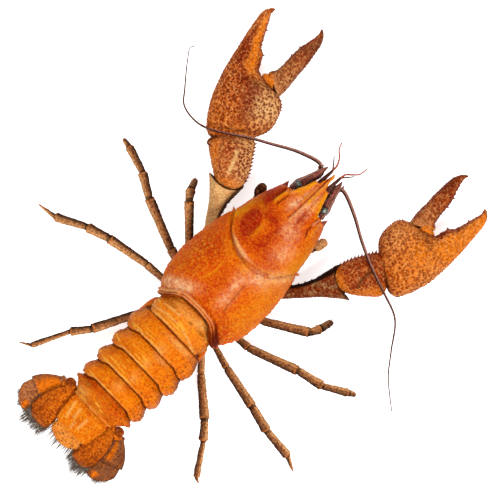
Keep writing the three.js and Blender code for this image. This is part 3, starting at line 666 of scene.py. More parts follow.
ROSTRUM_HEIGHT = profile([[46, 16.5], [54, 15.9], [58.6, 16.9]])
BEAK_ROOT = (CARAPACE_HALF_WIDTH(45.2) / ROSTRUM_HALF_WIDTH(46.3)) ** 1.5
BREAST = {"rear": -4.6, "front": 42.0, "height": 6.6, "swelling": 0.35, "rise": 1.6, "flat": 1.2}
BREAST_HALF_WIDTH = profile([[-4.6, 3.6], [-1, 6.4], [8, 7.3], [22, 7.3], [32, 5.8], [42, 2.4]])
HIPS = {"x": 8.1, "first": 15.3, "pitch": 4.9, "z": 2.8, "rear_drop": 0.8}


def carapace_grid(row, angle, inset):
    """Points of the shield: a row runs from the rear edge (0) over the neck groove (1) to the front edge
    (2), and a squarish section stands on the widest line; the groove is a dip exp(-d^2) across the rows."""
    aside = np.abs(np.cos(angle))
    neck = NECK_GROOVE(aside)
    front = CARAPACE["front"] - CARAPACE["front_sweep"] * aside**2
    y = np.where(row < 1, mix(REAR_EDGE(aside), neck, row), mix(neck, front, row - 1))
    dip = CARAPACE["groove_depth"] * band(row, 1, 0.035) * smooth(-0.35, -0.1, np.sin(angle))
    sunk = inset + dip
    widest = CARAPACE["widest"]
    x, z = section(
        angle, CARAPACE_HALF_WIDTH(y) - sunk, CARAPACE_CREST(y) - widest - sunk,
        widest - CARAPACE["floor"] - inset, CARAPACE["power"],
    )
    return np.stack(np.broadcast_arrays(x, y, widest + z), axis=2)


def rostrum_grid(t, angle):
    """Points of the beak: a flat tapering blade with a keel between two furrows and raised margins."""
    y = mix(ROSTRUM["base"], ROSTRUM["tip"], t)
    depth = ROSTRUM["thickness"] * (1 - 0.72 * t)
    x, z = section(angle, ROSTRUM_HALF_WIDTH(y), depth, 1.2 * depth, 3)
    furrow = 0.45 * depth * np.maximum(0, np.sin(angle)) ** 2 * (1 - band(x, 0, 0.7))
    return np.stack(np.broadcast_arrays(x, y, ROSTRUM_HEIGHT(y) + z - furrow), axis=2)


def beak_angles(angle):
    """The beak's own angles for the shield's: on top, those at which its root lies the same way across as
    the shield's front edge, eased to the side where that is wider than the beak; below, the same."""
    c = np.cos(angle)
    share = BEAK_ROOT * np.abs(c) ** (4 / 3)
    held = np.arccos(share / (1 + share**8) ** 0.125)
    return np.where(np.sin(angle) > 0, np.where(c < 0, np.pi - held, held), angle)


# Marks on the shield, each a place across and along, its reach, its turn and, but for the dark oval, its
# strength.
SHIELD_OVAL = ((-7.3, 30.9), (3.2, 4.9), 20)
SHIELD_DARK = (
    ((-2.8, 36.2), (2.0, 1.7), 0, 1.0),
    ((0.0, 32.0), (1.6, 5.8), -8, 0.75),
    ((-8.6, 41.4), (1.9, 4.0), -14, 1.4),
    ((-6.3, 36.5), (3.0, 2.6), 0, 0.65),
    ((2.6, 42.2), (1.4, 3.2), 0, 0.75),
    ((-4.8, 27.0), (4.5, 3.2), 20, 0.55),
    ((3.2, 27.6), (3.6, 2.6), 0, 0.55),
    ((-9.6, 17.5), (3.6, 4.4), 0, 0.5),
    ((-1.4, 12.5), (2.2, 3.8), 0, 0.4),
    ((-10.5, 9.5), (3.0, 3.0), 0, 0.35),
    ((9.4, 3.4), (3.6, 2.4), -35, 0.45),
    ((10.8, -0.6), (1.3, 1.6), -30, 0.7),
)
# Mostly painted sheen and highlights where the lights reflect, on the right front and shoulder, the rear left
# and the neck groove's lip; those about the beak are its own pale colour.
SHIELD_SHEEN_AND_PALE = (
    ((6.4, 31.2), (2.7, 3.4), -20, 0.6),
    ((3.3, 37.4), (2.3, 2.8), 30, 0.62),
    ((-2.4, 43.9), (1.5, 2.2), 0, 0.75),
    ((1.1, 45.0), (0.8, 7.0), 0, 0.6),
    ((-1.5, 48.5), (0.9, 4.5), -4, 0.45),
    ((2.7, 47.5), (0.8, 4.5), 8, 0.6),
    ((10.8, 25.6), (1.7, 4.2), -38, 1.2),
    ((7.0, 21.0), (4.2, 2.8), 20, 0.75),
    ((2.9, 15.6), (1.6, 3.2), 15, 0.75),
    ((3.8, 9.6), (1.9, 3.0), 0, 0.55),
    ((-9.0, 2.6), (4.8, 1.8), 34, 1.6),
    ((-4.6, 22.9), (3.2, 0.5), -24, 1.0),
)
SHIELD_GOLD = (
    ((-11.5, 31.5), (0.9, 4.5), -8, 0.6),
    ((-8.6, 36.9), (2.0, 0.8), -12, 0.35),
    ((-4.0, 30.5), (0.8, 3.0), 0, 0.4),
    ((-6.0, 22.0), (3.0, 1.6), -20, 0.35),
    ((0.5, 20.4), (2.6, 2.0), 0, 0.45),
)
SHIELD_BROWN = (
    ((10.7, -1.2), (1.3, 2.8), 36, 0.9),
    ((-9.3, -1.8), (0.7, 2.2), -36, 0.6),
)
# Lines on the shield: the beak's margin and its outer furrow are drawn on both halves, the others once.
BEAK_MARGIN = [(2.0, 53.4), (3.4, 49.6), (4.9, 46.6), (5.2, 45.6)]
OUTER_FURROW = [(1.4, 54), (1.9, 46), (2.2, 41)]
BEAK_KEEL = [(0.3, 58), (0.3, 44), (0.1, 40)]
BEAK_FURROW = [(-0.35, 57), (-0.35, 44), (-0.4, 40)]
LEFT_BROW = [(-6.1, 45.0), (-6.5, 42.8), (-6.8, 40.6)]
RIGHT_BROW = [(7.8, 45.2), (7.5, 43.2), (7.9, 41.2)]
RIGHT_BROW_MOAT = [(6.7, 45.4), (6.1, 43.7), (6.3, 41.4), (7.2, 39.6)]
LEFT_GILLS = [(-4.5, 16.8), (-4.2, 13.5), (-4.6, 11.5), (-5.4, 9.4)]
RIGHT_GILLS = [(5.0, 16.6), (5.2, 13.0), (5.7, 9.0), (6.2, 6.6)]
# Spines on both halves: foot, heading, height and radius.
SHIELD_THORNS = (
    ((13.4, 29.9, 12.0), (1, 0.7, 0.1), 1.8, 0.8),
    ((6.2, 44.2, 16.9), (0.15, 1, 0.25), 3.2, 0.8),
    ((2.5, 52.8, 16.0), (0.25, 1, 0.1), 1.8, 0.5),
)


class CRAYFISH_OT_carapace(Operator):
    """Builds the shield over the back, with its beak, neck groove, rear rim and spines"""

    bl_idname = "crayfish.carapace"
    bl_label = "Carapace"

    def execute(self, context):
        bump = context.scene.crayfish_sizes.bump_height
        angle = ring_angles(300)
        rows = np.linspace(0, 2, 250)[:, None]
        shield = carapace_grid(rows, angle, 0)
        beak = rostrum_grid(np.linspace(0.0, 1, 64)[:, None], beak_angles(angle))
        crown = smooth(0.62, 0.4, np.abs(np.cos(angle))) * (np.sin(angle) > 0)
        root = 1 - smooth(ROSTRUM["base"], ROSTRUM["base"] + 4, beak[..., 1])
        beak[..., 2] += (shield[-1, :, 2] - beak[0, :, 2]) * crown * root
        brow = np.linspace(0, 1, 7)[1:-1, None, None]
        bulge = np.array([0, 0.4, 0]) * np.sin(np.pi * brow) * (1 - crown[..., None])
        wall = mix(shield[-1:], beak[:1], brow) + bulge
        inside = carapace_grid(np.zeros((1, 1)), angle, CARAPACE["rim"])
        pocket = inside.copy()
        pocket[..., 1] = CARAPACE["pocket_end"]
        grid = np.concatenate([pocket, inside, shield, wall, beak])
        ahead = len(wall) + len(beak)
        row = np.concatenate([np.full((2, 1), -1.0), rows, np.full((ahead, 1), 2.0)])
        shown = row >= 0
        top = smooth(0.0, 0.3, np.sin(angle)) * shown
        height, masks = self.relief(grid, row, top, angle, bump)
        parts = [skin(raised(grid, height * shown), masks)]
        for side in SIDES.values():
            for foot, way, size, radius in SHIELD_THORNS:
                spine = mirrored(thorn(foot, way, size, radius), side)
                parts.append(skin(spine, {"pale": 0.3, "dark": 0.3}, side))
        piece("carapace_shell", parts, "carapace_shell", ["carapace"])
        return {"FINISHED"}

    def relief(self, grid, row, top, angle, bump):
        """The shield's heights and marks: bumps that grow to the sides, a rolled rear rim with a furrow
        before it, the beak's keel, furrow and margins, brow ridges, gill lines and wrinkles. Painted
        highlights lie on the sheen patches, the rear rim, the neck groove's lip, the keel and the beak's left
        margin, and painted shade in the furrows, the brow moats, the neck groove and under the rear edge."""
        x, y = grid[..., 0], grid[..., 1]
        wide = np.abs(x)
        on_beak = smooth(45.5, 47.5, y)
        front = smooth(21, 25, y)
        edge = np.where(row >= 0, y - REAR_EDGE(np.abs(np.cos(angle))), 9)
        flank = smooth(4, 12, wide)
        bumps = grains(grid, 0.85, 0.4, 11)
        height = bump * bumps * (0.4 + 0.5 * flank) * (1 - 0.65 * front)
        height += bump * 0.5 * rough(grid, 0.9, 5, 2) * (1 - 0.5 * front)
        height += 0.16 * noise(grid, 7.0, 3) * (1 - on_beak)
        wrinkled = blob(x, y, (8.5, 18.5), (4.5, 5.0)) + 0.5 * blob(x, y, (4, 9), (3, 7))
        slanted = np.stack([(x - y) * 0.7, (x + y) * 0.7, grid[..., 2]], axis=-1)
        height += 0.1 * wrinkled * noise(slanted, (2.6, 0.55, 3.0), 9)
        rim = band(edge, 0.35, 0.22) + band(edge, 1.2, 0.3)
        gutter = 0.7 * band(edge, 0.75, 0.16) + band(edge, 1.95, 0.36)
        worm = smooth(-0.3, 0.35, rough(grid, 0.62, 12, 2))
        margin = stroke(wide, y, BEAK_MARGIN, 0.5)
        keel = stroke(x, y, BEAK_KEEL, 0.3)
        furrow = stroke(x, y, BEAK_FURROW, 0.3)
        second = stroke(wide, y, OUTER_FURROW, 0.5)
        left_brow = stroke(x, y, LEFT_BROW, 0.65)
        moat = stroke(x, y, [(p - 0.95, q) for p, q in LEFT_BROW], 0.42) + stroke(x, y, RIGHT_BROW_MOAT, 0.28)
        moat += 0.9 * stroke(x, y, [(p + 0.95, q - 0.3) for p, q in LEFT_BROW], 0.24)
        right_brow = stroke(x, y, RIGHT_BROW, 0.7)
        left_gills = stroke(x, y, LEFT_GILLS, 0.35)
        right_gills = stroke(x, y, RIGHT_GILLS, 0.3)
        waves = np.cos(2 * np.pi * (y - 0.02 * (x - 3) ** 2) / 0.75)
        arcs = blob(x, y, (6.6, 25.4), (3.2, 1.2), 10) * waves
        oval = smooth(0.36, 0.52, blob(x, y, *SHIELD_OVAL))
        neck = band(row, 1.002, 0.016)
        lip = band(row, 1.055, 0.022)
        height += 0.4 * rim - 0.32 * gutter - 0.35 * neck * top + 0.3 * lip * top
        height += top * (0.35 * margin + 0.3 * keel - 0.3 * furrow - 0.22 * second + 0.45 * left_brow)
        height += top * (0.3 * right_brow - 0.3 * moat - 0.16 * left_gills - 0.16 * right_gills)
        height += top * (0.07 * arcs - 0.1 * oval)
        speckle = smooth(0.3, 0.75, grains(grid, 0.7, 0.3, 17, 0.55))
        beads = smooth(0.35, 0.8, bumps) * (0.25 + 0.75 * flank) * (1 - 0.7 * front)
        shaded = patches(SHIELD_DARK, x, y) * (0.75 + 0.4 * (1 - worm)) + 0.9 * oval
        # Painted highlights: the sheen patches, brighter on bumps, the rear rim's top and the neck groove's
        # lip, gold at the lip's ends.
        lit = patches(SHIELD_SHEEN_AND_PALE, x, y) * (0.4 + 0.4 * bumps + 0.7 * worm)
        lit_rim = rim * (blob(x, y, (-1, 2.4), (8, 3)) + 0.9 * blob(x, y, (-10.5, -1), (4, 3)))
        lit_lip = lip * blob(x, y, (-4.4, 22.4), (4.2, 2.4))
        gold = patches(SHIELD_GOLD, x, y) + 0.35 * smooth(6, 11, x) * smooth(46, 40, y) * smooth(2, 8, y)
        gold += 0.4 * band(wide, 12.2, 1.4) * smooth(27, 31, y) * smooth(42, 37, y)
        lip_highlight_gold = lip * (0.4 * smooth(0, -3, x) + 0.3 * smooth(2, 5, x))
        # Painted shadow under the rear edge and in the gutter before the rim, deeper on the right.
        rear_shadow = 0.9 * band(edge, -0.1, 0.28) + gutter * (0.15 + 0.85 * smooth(5, 8, x))
        masks = {
            # Painted shade darkens the beak's furrows, the brow moats, the gutter and the neck groove, this
            # more on the left.
            "dark": shaded + 0.7 * furrow + 0.4 * second + 0.9 * moat + 0.55 * neck + 0.15 * gutter
            + 0.6 * np.maximum(arcs, 0),
            # The keel and the beak's left margin are painted pale as highlights.
            "pale": lit + 0.8 * keel + 0.9 * lit_rim + 1.4 * lit_lip + 0.5 * margin * (x < 0)
            + 0.5 * right_brow * worm,
            "dot": 0.75 * beads + speckle * (0.25 * oval + 0.5 * blob(x, y, (6.4, 31.7), (3, 3.6))),
            "spot": gold + lip_highlight_gold + 0.5 * lit_rim + 0.8 * left_brow + 0.4 * right_brow + 0.6 * margin
            + 0.4 * keel + 0.6 * left_gills + 0.5 * on_beak * (1 - second) * (1 - furrow),
            "crease": patches(SHIELD_BROWN, x, y) + rear_shadow + 0.5 * rim * smooth(6.5, 9, x)
            + 0.5 * right_gills + 0.55 * moat + 0.3 * furrow * (1 + smooth(50, 56, y))
            + 0.45 * neck * smooth(2, -2, x),
        }
        return height, {kind: top * mask for kind, mask in masks.items()}


class CRAYFISH_OT_breast(Operator):
    """Builds the plate under the body that the limbs come out of"""

    bl_idname = "crayfish.breast"
    bl_label = "Breast plate"

    def execute(self, context):
        middle = BREAST["height"] / 2
        y = np.linspace(BREAST["rear"], BREAST["front"], 120)[:, None]
        angle = ring_angles(72)
        beat = np.cos(2 * np.pi * (y - HIPS["first"]) / HIPS["pitch"])
        lift = BREAST["rise"] * np.maximum(0, (y - 30) / (BREAST["front"] - 30)) ** 2
        x, z = section(
            angle, BREAST_HALF_WIDTH(y) + BREAST["swelling"] * beat, middle, middle + BREAST["flat"], 3.2
        )
        grid = np.stack(np.broadcast_arrays(x, y, np.maximum(lift, middle + z)), axis=2)
        masks = {"crease": 0.6 * smooth(-0.7, -0.98, beat)}
        parts = [skin(raised(grid, 0.06 * rough(grid, 1.5, 8) * (grid[..., 2] > 0.3)), masks)]
        piece("breast_plate", parts, "belly_shell", ["breast"])
        return {"FINISHED"}


# ---- tail and fan ----

TAIL = {
    "start": 1.0,
    "lengths": [9.4, 7.2, 6.8, 6.4, 6.0, 7.8],
    "half_widths": [10.5, 12.9, 12.7, 12.3, 11.9, 11.4],
    "crests": [18.9, 18.3, 17.4, 16.3, 14.8, 12.8],
    "widests": [11.0, 6.0, 5.8, 5.6, 5.4, 5.4],
    "floors": [8.6, 3.2, 3.0, 2.9, 2.8, 2.8],
    "lobes": [0.3, 1, 1, 1, 1, 0],
    "tuck": 1.0,
    "gap": 0.55,
    "ear_at": [10.4, -10.2, 6.2],
    "ear_radii": [1.6, 5.6, 3.2],
}
TAIL_DRIFT = profile([[-43, 0], [-34, 0.55], [-20, 0.8], [-8, 0.1], [2, 0]])
SIDE_LOBE = profile([[0, 0], [0.6, 0.15], [0.85, 1.25], [1, 1.5]])


def tail_plate_grid(index, rows, inset, angle):
    """Points of one tail plate: a low front, a domed middle and side lobes swept to the rear; rows run
    from the rear edge to the front."""
    front = TAIL["start"] - sum(TAIL["lengths"][:index]) - TAIL["gap"]
    length = TAIL["lengths"][index] - TAIL["gap"]
    last = index == 5
    half, crest, widest = (TAIL[key][index] for key in ("half_widths", "crests", "widests"))
    if last:
        width = profile(
            [[0, half - 1.2], [0.22, half], [0.38, half - 1.4], [0.5, 9.4], [0.65, 8.6], [0.8, 8.0], [1, 7.5]]
        )
    else:
        width = profile(
            [[0, half - 1.3], [0.18, half - 0.9], [0.35, half - 0.3], [0.65, half], [1, half - 1.1]]
        )
    slope = 3.2 if last else 0.8
    tuck = TAIL["tuck"]
    height = profile(
        [[0, crest - tuck - 0.1], [0.14, crest - 0.8 * tuck], [0.32, crest - 0.2], [0.5, crest],
         [1, crest - slope]]
    )
    front_lobe = TAIL["lobes"][max(0, index - 1)]
    t = 1 - rows
    aside = np.abs(np.cos(angle))
    y = front - t * length - SIDE_LOBE(aside) * mix(front_lobe, TAIL["lobes"][index], np.maximum(t, 0))
    x, z = section(angle, width(t) - inset, height(t) - widest - inset, widest - TAIL["floors"][index], 2.1)
    return np.stack(np.broadcast_arrays(TAIL_DRIFT(y) + x, y, widest + z), axis=2)


# The first plate's two cross ridges, and marks on the plates as on the shield.
PLATE_RIDGES = (
    [(-7.6, -4.1), (-5.0, -3.7), (-2.2, -3.4)],
    [(-10.2, -7.4), (-5.3, -5.9), (0.4, -5.5), (4.5, -6.6), (8.2, -8.1)],
)
TAIL_MARKS = {
    "dark": (
        ((0, -8.2), (9, 0.5), 0, 0.6),
        ((-6, -36.6), (3.0, 1.5), 0, 0.6),
        ((3, -37.5), (4, 2.5), 0, 0.4),
    ),
    # Painted highlights and sheen on the first plate's corners and front, and along the middle of the plates.
    "pale": (
        ((5.0, -0.6), (1.7, 1.2), 0, 0.8),
        ((4.6, -10.0), (4.2, 0.9), 0, 0.8),
        ((0, -1.6), (7.5, 1.4), 0, 0.55),
        ((-6.5, -40.6), (2.4, 1.3), 20, 0.6),
        ((8.6, -1.6), (0.8, 1.6), 0, 1.2),
        ((3.6, -17.0), (2.4, 0.8), 0, 0.5),
        ((1.4, -14.5), (1.6, 1.6), 30, 0.45),
        ((1.2, -20.5), (1.4, 1.4), 0, 0.4),
        ((1.8, -26.5), (1.2, 2.0), 0, 0.4),
        ((0.4, -31.5), (1.6, 1.6), 0, 0.35),
    ),
    "spot": (
        ((-6.1, -2.8), (1.7, 0.6), 10, 0.9),
        ((6.4, -2.8), (1.6, 0.7), 0, 0.9),
        ((1.8, -2.8), (0.7, 0.45), 0, 0.9),
        ((-6.5, -37.6), (1.6, 0.9), 0, 0.5),
    ),
}


class CRAYFISH_OT_tail(Operator):
    """Builds the six tail plates, each tucked under the one ahead of it"""

    bl_idname = "crayfish.tail"
    bl_label = "Tail plates"

    def execute(self, context):
        for index in range(len(TAIL["lengths"])):
            self.plate(index, context.scene.crayfish_sizes.bump_height)
        return {"FINISHED"}

    def plate(self, index, bump):
        """One plate: rounded at its rear edge, its front drawn in and carried on under the plate ahead."""
        angle = ring_angles(230)
        rows, inset = rounded_rows(TAIL["lengths"][index], 64, 0.35, 0.01)
        rows = np.concatenate([rows[:-5], [[1.05], [1.12], [1.2]]])
        inset = np.concatenate([inset[:-5], [[0.1], [0.35], [0.7]]])
        grid = tail_plate_grid(index, rows, inset, angle)
        x, y = grid[..., 0], grid[..., 1]
        t = 1 - rows
        aside = np.abs(np.cos(angle))
        top = smooth(-0.1, 0.3, np.sin(angle))
        last = index == 5
        wrinkle = noise(grid, (2.4, 0.42, 2.4), 20 + index)
        beads = grains(grid, 0.85, 0.38, 90 + index, 0.75)
        ridge = sum(stroke(x, y, line, 0.4) for line in PLATE_RIDGES if index == 0)
        height = 0.35 * bump * (wrinkle + 0.6 * noise(grid, 0.8, 30 + index)) * top
        height += bump * 0.5 * beads * (0.25 + 0.75 * smooth(5, 10, np.abs(x)))
        height += 0.1 * noise(grid, 3.0, 40 + index) + 0.34 * ridge
        height += 0.14 * band(t, 0.94, 0.04) - 0.12 * band(t, 0.85, 0.04)
        marks = {kind: patches(places, x, y) for kind, places in TAIL_MARKS.items()}
        # Painted highlight streaks along the plates' left half.
        highlight_streaks = smooth(0.15, 0.6, wrinkle) * smooth(0.4, 0.6, t) * smooth(0.97, 0.85, t) * smooth(5, 0, x)
        browned = smooth(0.3, 0.7, beads) * (0.7 if last else 0.15 + 0.75 * smooth(4, 9, x))
        # Brown on the side lobes' outer edges, and painted shade on their fronts, where they pass under the
        # plate ahead.
        lobe = smooth(0.8, 0.96, aside) * smooth(0.62, 0.2, t) + smooth(0.9, 0.98, aside)
        # A painted highlight along each plate's rear lip, strongest on the left.
        rear_highlight = 0.25 + (0.2 if last else 0.7) * smooth(3, -1, x)
        rear_highlight = rear_highlight * band(t, 0.93, 0.035) * smooth(10, 7, np.abs(x))
        masks = {
            # Painted shade: a dark line at the rear edge, the front under the plate ahead, and a darker band
            # where that plate overhangs.
            "crease": 0.8 * smooth(0.98, 0.998, t) + 0.8 * smooth(0.03, -0.03, t),
            "dark": marks["dark"] + 0.25 * smooth(0.24, 0.06, t) + (0.22 if last else 0),
            # The first plate's ridges are painted pale as highlights.
            "pale": marks["pale"] + 0.85 * ridge + rear_highlight,
            "dot": highlight_streaks + 0.35 * smooth(0.3, 0.8, beads) * (x < 4) + (0.12 if index == 0 else 0),
            "spot": marks["spot"] + browned + (0.2 if last else 0.45) * lobe,
        }
        parts = [skin(raised(grid, height), masks)]
        if index == 1:
            for side in SIDES.values():
                x, y, z = TAIL["ear_at"]
                ear = knob((side * x, y, z), TAIL["ear_radii"], 40, 48)
                parts.append(skin(raised(ear, 0.05 * rough(ear, 1.2, 61)), {"dark": 0.35}))
        name = f"tail_plate_{index + 1}"
        piece(f"{name}_shell", parts, "tail_shell", [name])


TELSON = [[0, -43.0, 7.0], [0, -56.7, 3.1]]
TELSON_EDGE = profile(
    [[0, 6.9], [0.15, 7.1], [0.25, 6.9], [0.5, 6.4], [0.64, 6.0], [0.69, 5.2], [0.75, 5.4], [0.84, 5.2],
     [0.95, 3.4], [1, 0.9]]
)
TELSON_STREAKS = (
    [(-5.2, -44.6), (-4.6, -47), (-4.0, -49.4)],
    [(-2.6, -45), (-2.2, -48)],
    [(1.2, -45.8), (1.0, -49.6)],
    [(-1.0, -49), (-0.8, -51)],
)
BLADE_THICK = profile([[0, 1.0], [0.3, 0.62], [1, 0.36]])
FAN_KNUCKLE = {"at": [10.3, -41.5, 4.4], "radius": 1.6}
KNUCKLE_LUMPS = ((9.3, -43.0, 4.1, 1.5), (10.9, -42.8, 3.2, 1.5), (8.6, -42.0, 4.4, 1.1))
FAN_BLADES = {
    "left": {
        "inner": [[9.0, -43.3, 4.4], [9.6, -57.4, 2.0]],
        "outer": [[12.0, -42.9, 2.3], [16.0, -57.5, 0.5]],
        "spread": 1,
    },
    "right": {
        "inner": [[8.9, -43.3, 4.4], [8.4, -57.2, 2.0]],
        "outer": [[11.7, -42.9, 2.3], [14.9, -57.4, 0.5]],
        "spread": 0.87,
    },
}
# The outer and the inner edge of each kind of side blade.
BLADE_EDGES = {
    "inner": (
        profile([[0, 1.6], [0.15, 3.0], [0.45, 4.4], [0.75, 4.7], [0.92, 3.4], [1, 1.6]]),
        profile([[0, -2.4], [0.15, -2.8], [0.5, -3.5], [0.8, -4.1], [0.94, -3.8], [1, -2.2]]),
    ),
    "outer": (
        profile([[0, 1.8], [0.12, 3.4], [0.34, 5.4], [0.45, 5.9], [0.53, 6.1], [0.55, 5.5], [0.72, 5.6],
                 [0.9, 3.9], [1, 1.3]]),
        profile([[0, -1.4], [0.25, -2.2], [0.5, -3.4], [0.8, -3.8], [0.95, -2.8], [1, -1.2]]),
    ),
}
BLADE_START = -0.06  # the blades' roots reach this share of their length further back
FRINGE_SPAN_AT = 0.86  # a fringe is as wide as its blade is at this share of its length
# Each fringe: how many times the panel's hair length its hairs reach, their number and their radius.
FRINGES = {"telson": (1.9, 24, 0.22), "inner": (2.0, 190, 0.14), "outer": (0.8, 90, 0.11)}


def telson_edges():
    """The left and right edges of the middle blade, which is even-sided."""
    return TELSON_EDGE, lambda t: -TELSON_EDGE(t)


def blade_edges(name, kind):
    """The outer and inner edges of a side blade; an inner blade is as wide as its side's spread says."""
    outer, inner = BLADE_EDGES[kind]
    wide = FAN_BLADES[name]["spread"] if kind == "inner" else 1
    return lambda t: wide * outer(t), lambda t: wide * inner(t)


def blade_grid(line, outer, inner, ribs):
    """A thin fan blade that points to the rear, so that its outer edge lies on the left of its line. It has
    a keel and fine ribs that spread from its root: a cosine of the share of the way across, made uneven."""
    length = length_of(line)
    left, right = lambda t: -outer(t), lambda t: -inner(t)
    t, angle, grid = limb_grid(
        length, right, left, BLADE_THICK, 120, 150, 2.0, ends=(0.2, 0.1), first=BLADE_START
    )
    share = (-grid[..., 0] - inner(t)) / np.maximum(outer(t) - inner(t), 0.1)
    top = smooth(0.05, 0.5, np.sin(angle))
    keel = band(share, 0.5, 0.05)
    sway = 0.8 * noise(grid, (2.0, 5.0, 9.0), 75)
    ribbed = np.cos(2 * np.pi * (ribs * share + sway)) * smooth(0.1, 0.4, t)
    ribbed = ribbed * noise(grid, (1.5, 3.0, 9.0), 76)
    height = top * (0.12 * ribbed + 0.3 * keel * (1 - 0.7 * t) + 0.09 * grains(grid, 0.75, 0.36, 77, 0.8))
    return t, share, on_line(grid, line), height


class CRAYFISH_OT_fan(Operator):
    """Builds the tail fan: the middle blade, and on each side a knuckle with two blades"""

    bl_idname = "crayfish.fan"
    bl_label = "Tail fan"

    def execute(self, context):
        t, share, grid, height = blade_grid(TELSON, *telson_edges(), 5)
        x, y = grid[..., 0], grid[..., 1]
        streaks = sum(stroke(x, y, line, 0.42) for line in TELSON_STREAKS)
        rim = smooth(0.42, 0.5, np.abs(share - 0.5))
        tip = smooth(0.6, 0.72, t)
        beads = grains(grid, 0.7, 0.32, 78, 0.8)
        step = 4 * tip * (1 - tip)
        height = height * 0.5 + 0.1 * rough(grid, (1.0, 2.2, 1.0), 71) + 0.16 * streaks - 0.12 * step
        cloudy = (1 - tip) * smooth(0.1, 0.5, noise(grid, (1.2, 3.0, 3.0), 79))
        masks = {
            "dark": 0.4 * rim + 0.1 * cloudy + 0.4 * smooth(0.1, 0, t),
            "pale": 0.9 * streaks * (1 - tip) + 0.4 * tip,
            "spot": 0.75 * tip * smooth(0.1, 0.5, beads),
            "dot": 0.6 * (1 - tip) * smooth(0.2, 0.6, beads),
            "crease": 0.8 * rim * band(t, 0.69, 0.025) + 0.5 * smooth(0.985, 1.0, t) + 0.5 * rim * tip,
        }
        piece("telson_shell", [skin(raised(grid, height), masks)], "tail_shell", ["telson"])
        for name, side in SIDES.items():
            self.half(name, side)
        return {"FINISHED"}

    def half(self, name, side):
        """One side's knuckle, which is a few wrinkled lumps, and its two blades."""
        at, radius = FAN_KNUCKLE["at"], FAN_KNUCKLE["radius"]
        lumps = [knob(at, (1.1 * radius, 0.9 * radius, 0.8 * radius))]
        lumps += [knob((x, y, z), (size, size, 0.7 * size)) for x, y, z, size in KNUCKLE_LUMPS]
        parts = []
        for index, lump in enumerate(lumps):
            lump = mirrored(lump, side)
            wrinkles = rough(lump, 0.8, 81 + index)
            masks = {
                "dark": (0.2 if index else 0.8) + 0.5 * smooth(0, -0.6, wrinkles),
                "spot": (0.8 if index else 0) * smooth(-0.5, 0.2, wrinkles),
                "pale": 0.5 * smooth(0.3, 0.9, wrinkles),
            }
            parts.append(skin(raised(lump, 0.14 * wrinkles, side), masks, side))
        piece(f"fan_knuckle_{name}_shell", parts, "fan_shell", [f"fan_knuckle_{name}"])
        for kind in BLADE_EDGES:
            t, share, grid, height = blade_grid(FAN_BLADES[name][kind], *blade_edges(name, kind), 6)
            grid = mirrored(grid, side)
            beads = grains(grid, 0.75, 0.36, 85, 0.8)
            if kind == "outer":
                height = height - 0.25 * self.seam(t, share)
                masks = self.outer_marks(t, share, beads, side < 0)
            else:
                masks = self.inner_marks(t, share, beads)
            node = f"fan_{kind}_{name}"
            parts = [skin(raised(grid, height, side), masks, side)]
            piece(f"{node}_shell", parts, "fan_shell", [node])

    def seam(self, t, share):
        """The seam across the outer blade, which sags to the rear towards the blade's inner edge."""
        return band(t, 0.545 + 0.08 * (1 - share), 0.013) * smooth(0.2, 0.4, share)

    def inner_marks(self, t, share, beads):
        """Dark beads that crowd to the end and the outer half, an orange keel and root, and a dark rim."""
        rim = np.maximum(smooth(0.43, 0.5, np.abs(share - 0.5)), smooth(0.965, 1.0, t))
        return {
            "crease": 0.85 * rim,
            "dark": 0.75 * smooth(0.1, 0.5, beads) + 0.35 * smooth(0.6, 0.95, t)
            + 0.3 * smooth(0.4, 0.8, share),
            "spot": 0.5 * band(share, 0.5, 0.05) * (1 - t) + 0.3 * smooth(0.6, 0.1, t),
            "pale": 0.3 * smooth(0.85, 0.97, t),
        }

    def outer_marks(self, t, share, beads, left):
        """A pale blade with a dark rim and seam, an orange wedge from its root, and a patch at its end. The
        left wedge is wider and stronger; the right blade is browner between."""
        rim = np.maximum(smooth(0.44, 0.5, np.abs(share - 0.5)), smooth(0.965, 1.0, t))
        middle, wide = (0.5, 0.28) if left else (0.43, 0.1)
        wedge = band(share, middle, wide) * smooth(0.02, 0.12, t) * smooth(0.58, 0.42, t)
        if left:
            wedge = np.minimum(1.5 * wedge, 1)
        patch = band(share, 0.44, 0.13) * smooth(0.8, 0.87, t)
        plain = (1 - wedge) * (1 - patch)
        browned = 0 if left else plain
        shoulder = (0.45 if left else 0.2) * smooth(0.6, 0.95, share) * smooth(0.6, 0.4, t)
        dots = 0.5 * smooth(0.2, 0.6, beads) * (1 - 0.8 * np.maximum(wedge, patch))
        return {
            "crease": 0.6 * rim + 0.5 * self.seam(t, share) + 0.36 * browned,
            "pale": 0.95 * plain,
            "dot": dots + shoulder + 0.2 * browned,
            "spot": 1.1 * wedge + patch + 0.25 * smooth(0.3, 0.7, beads) * smooth(0.5, 0.6, t),
        }


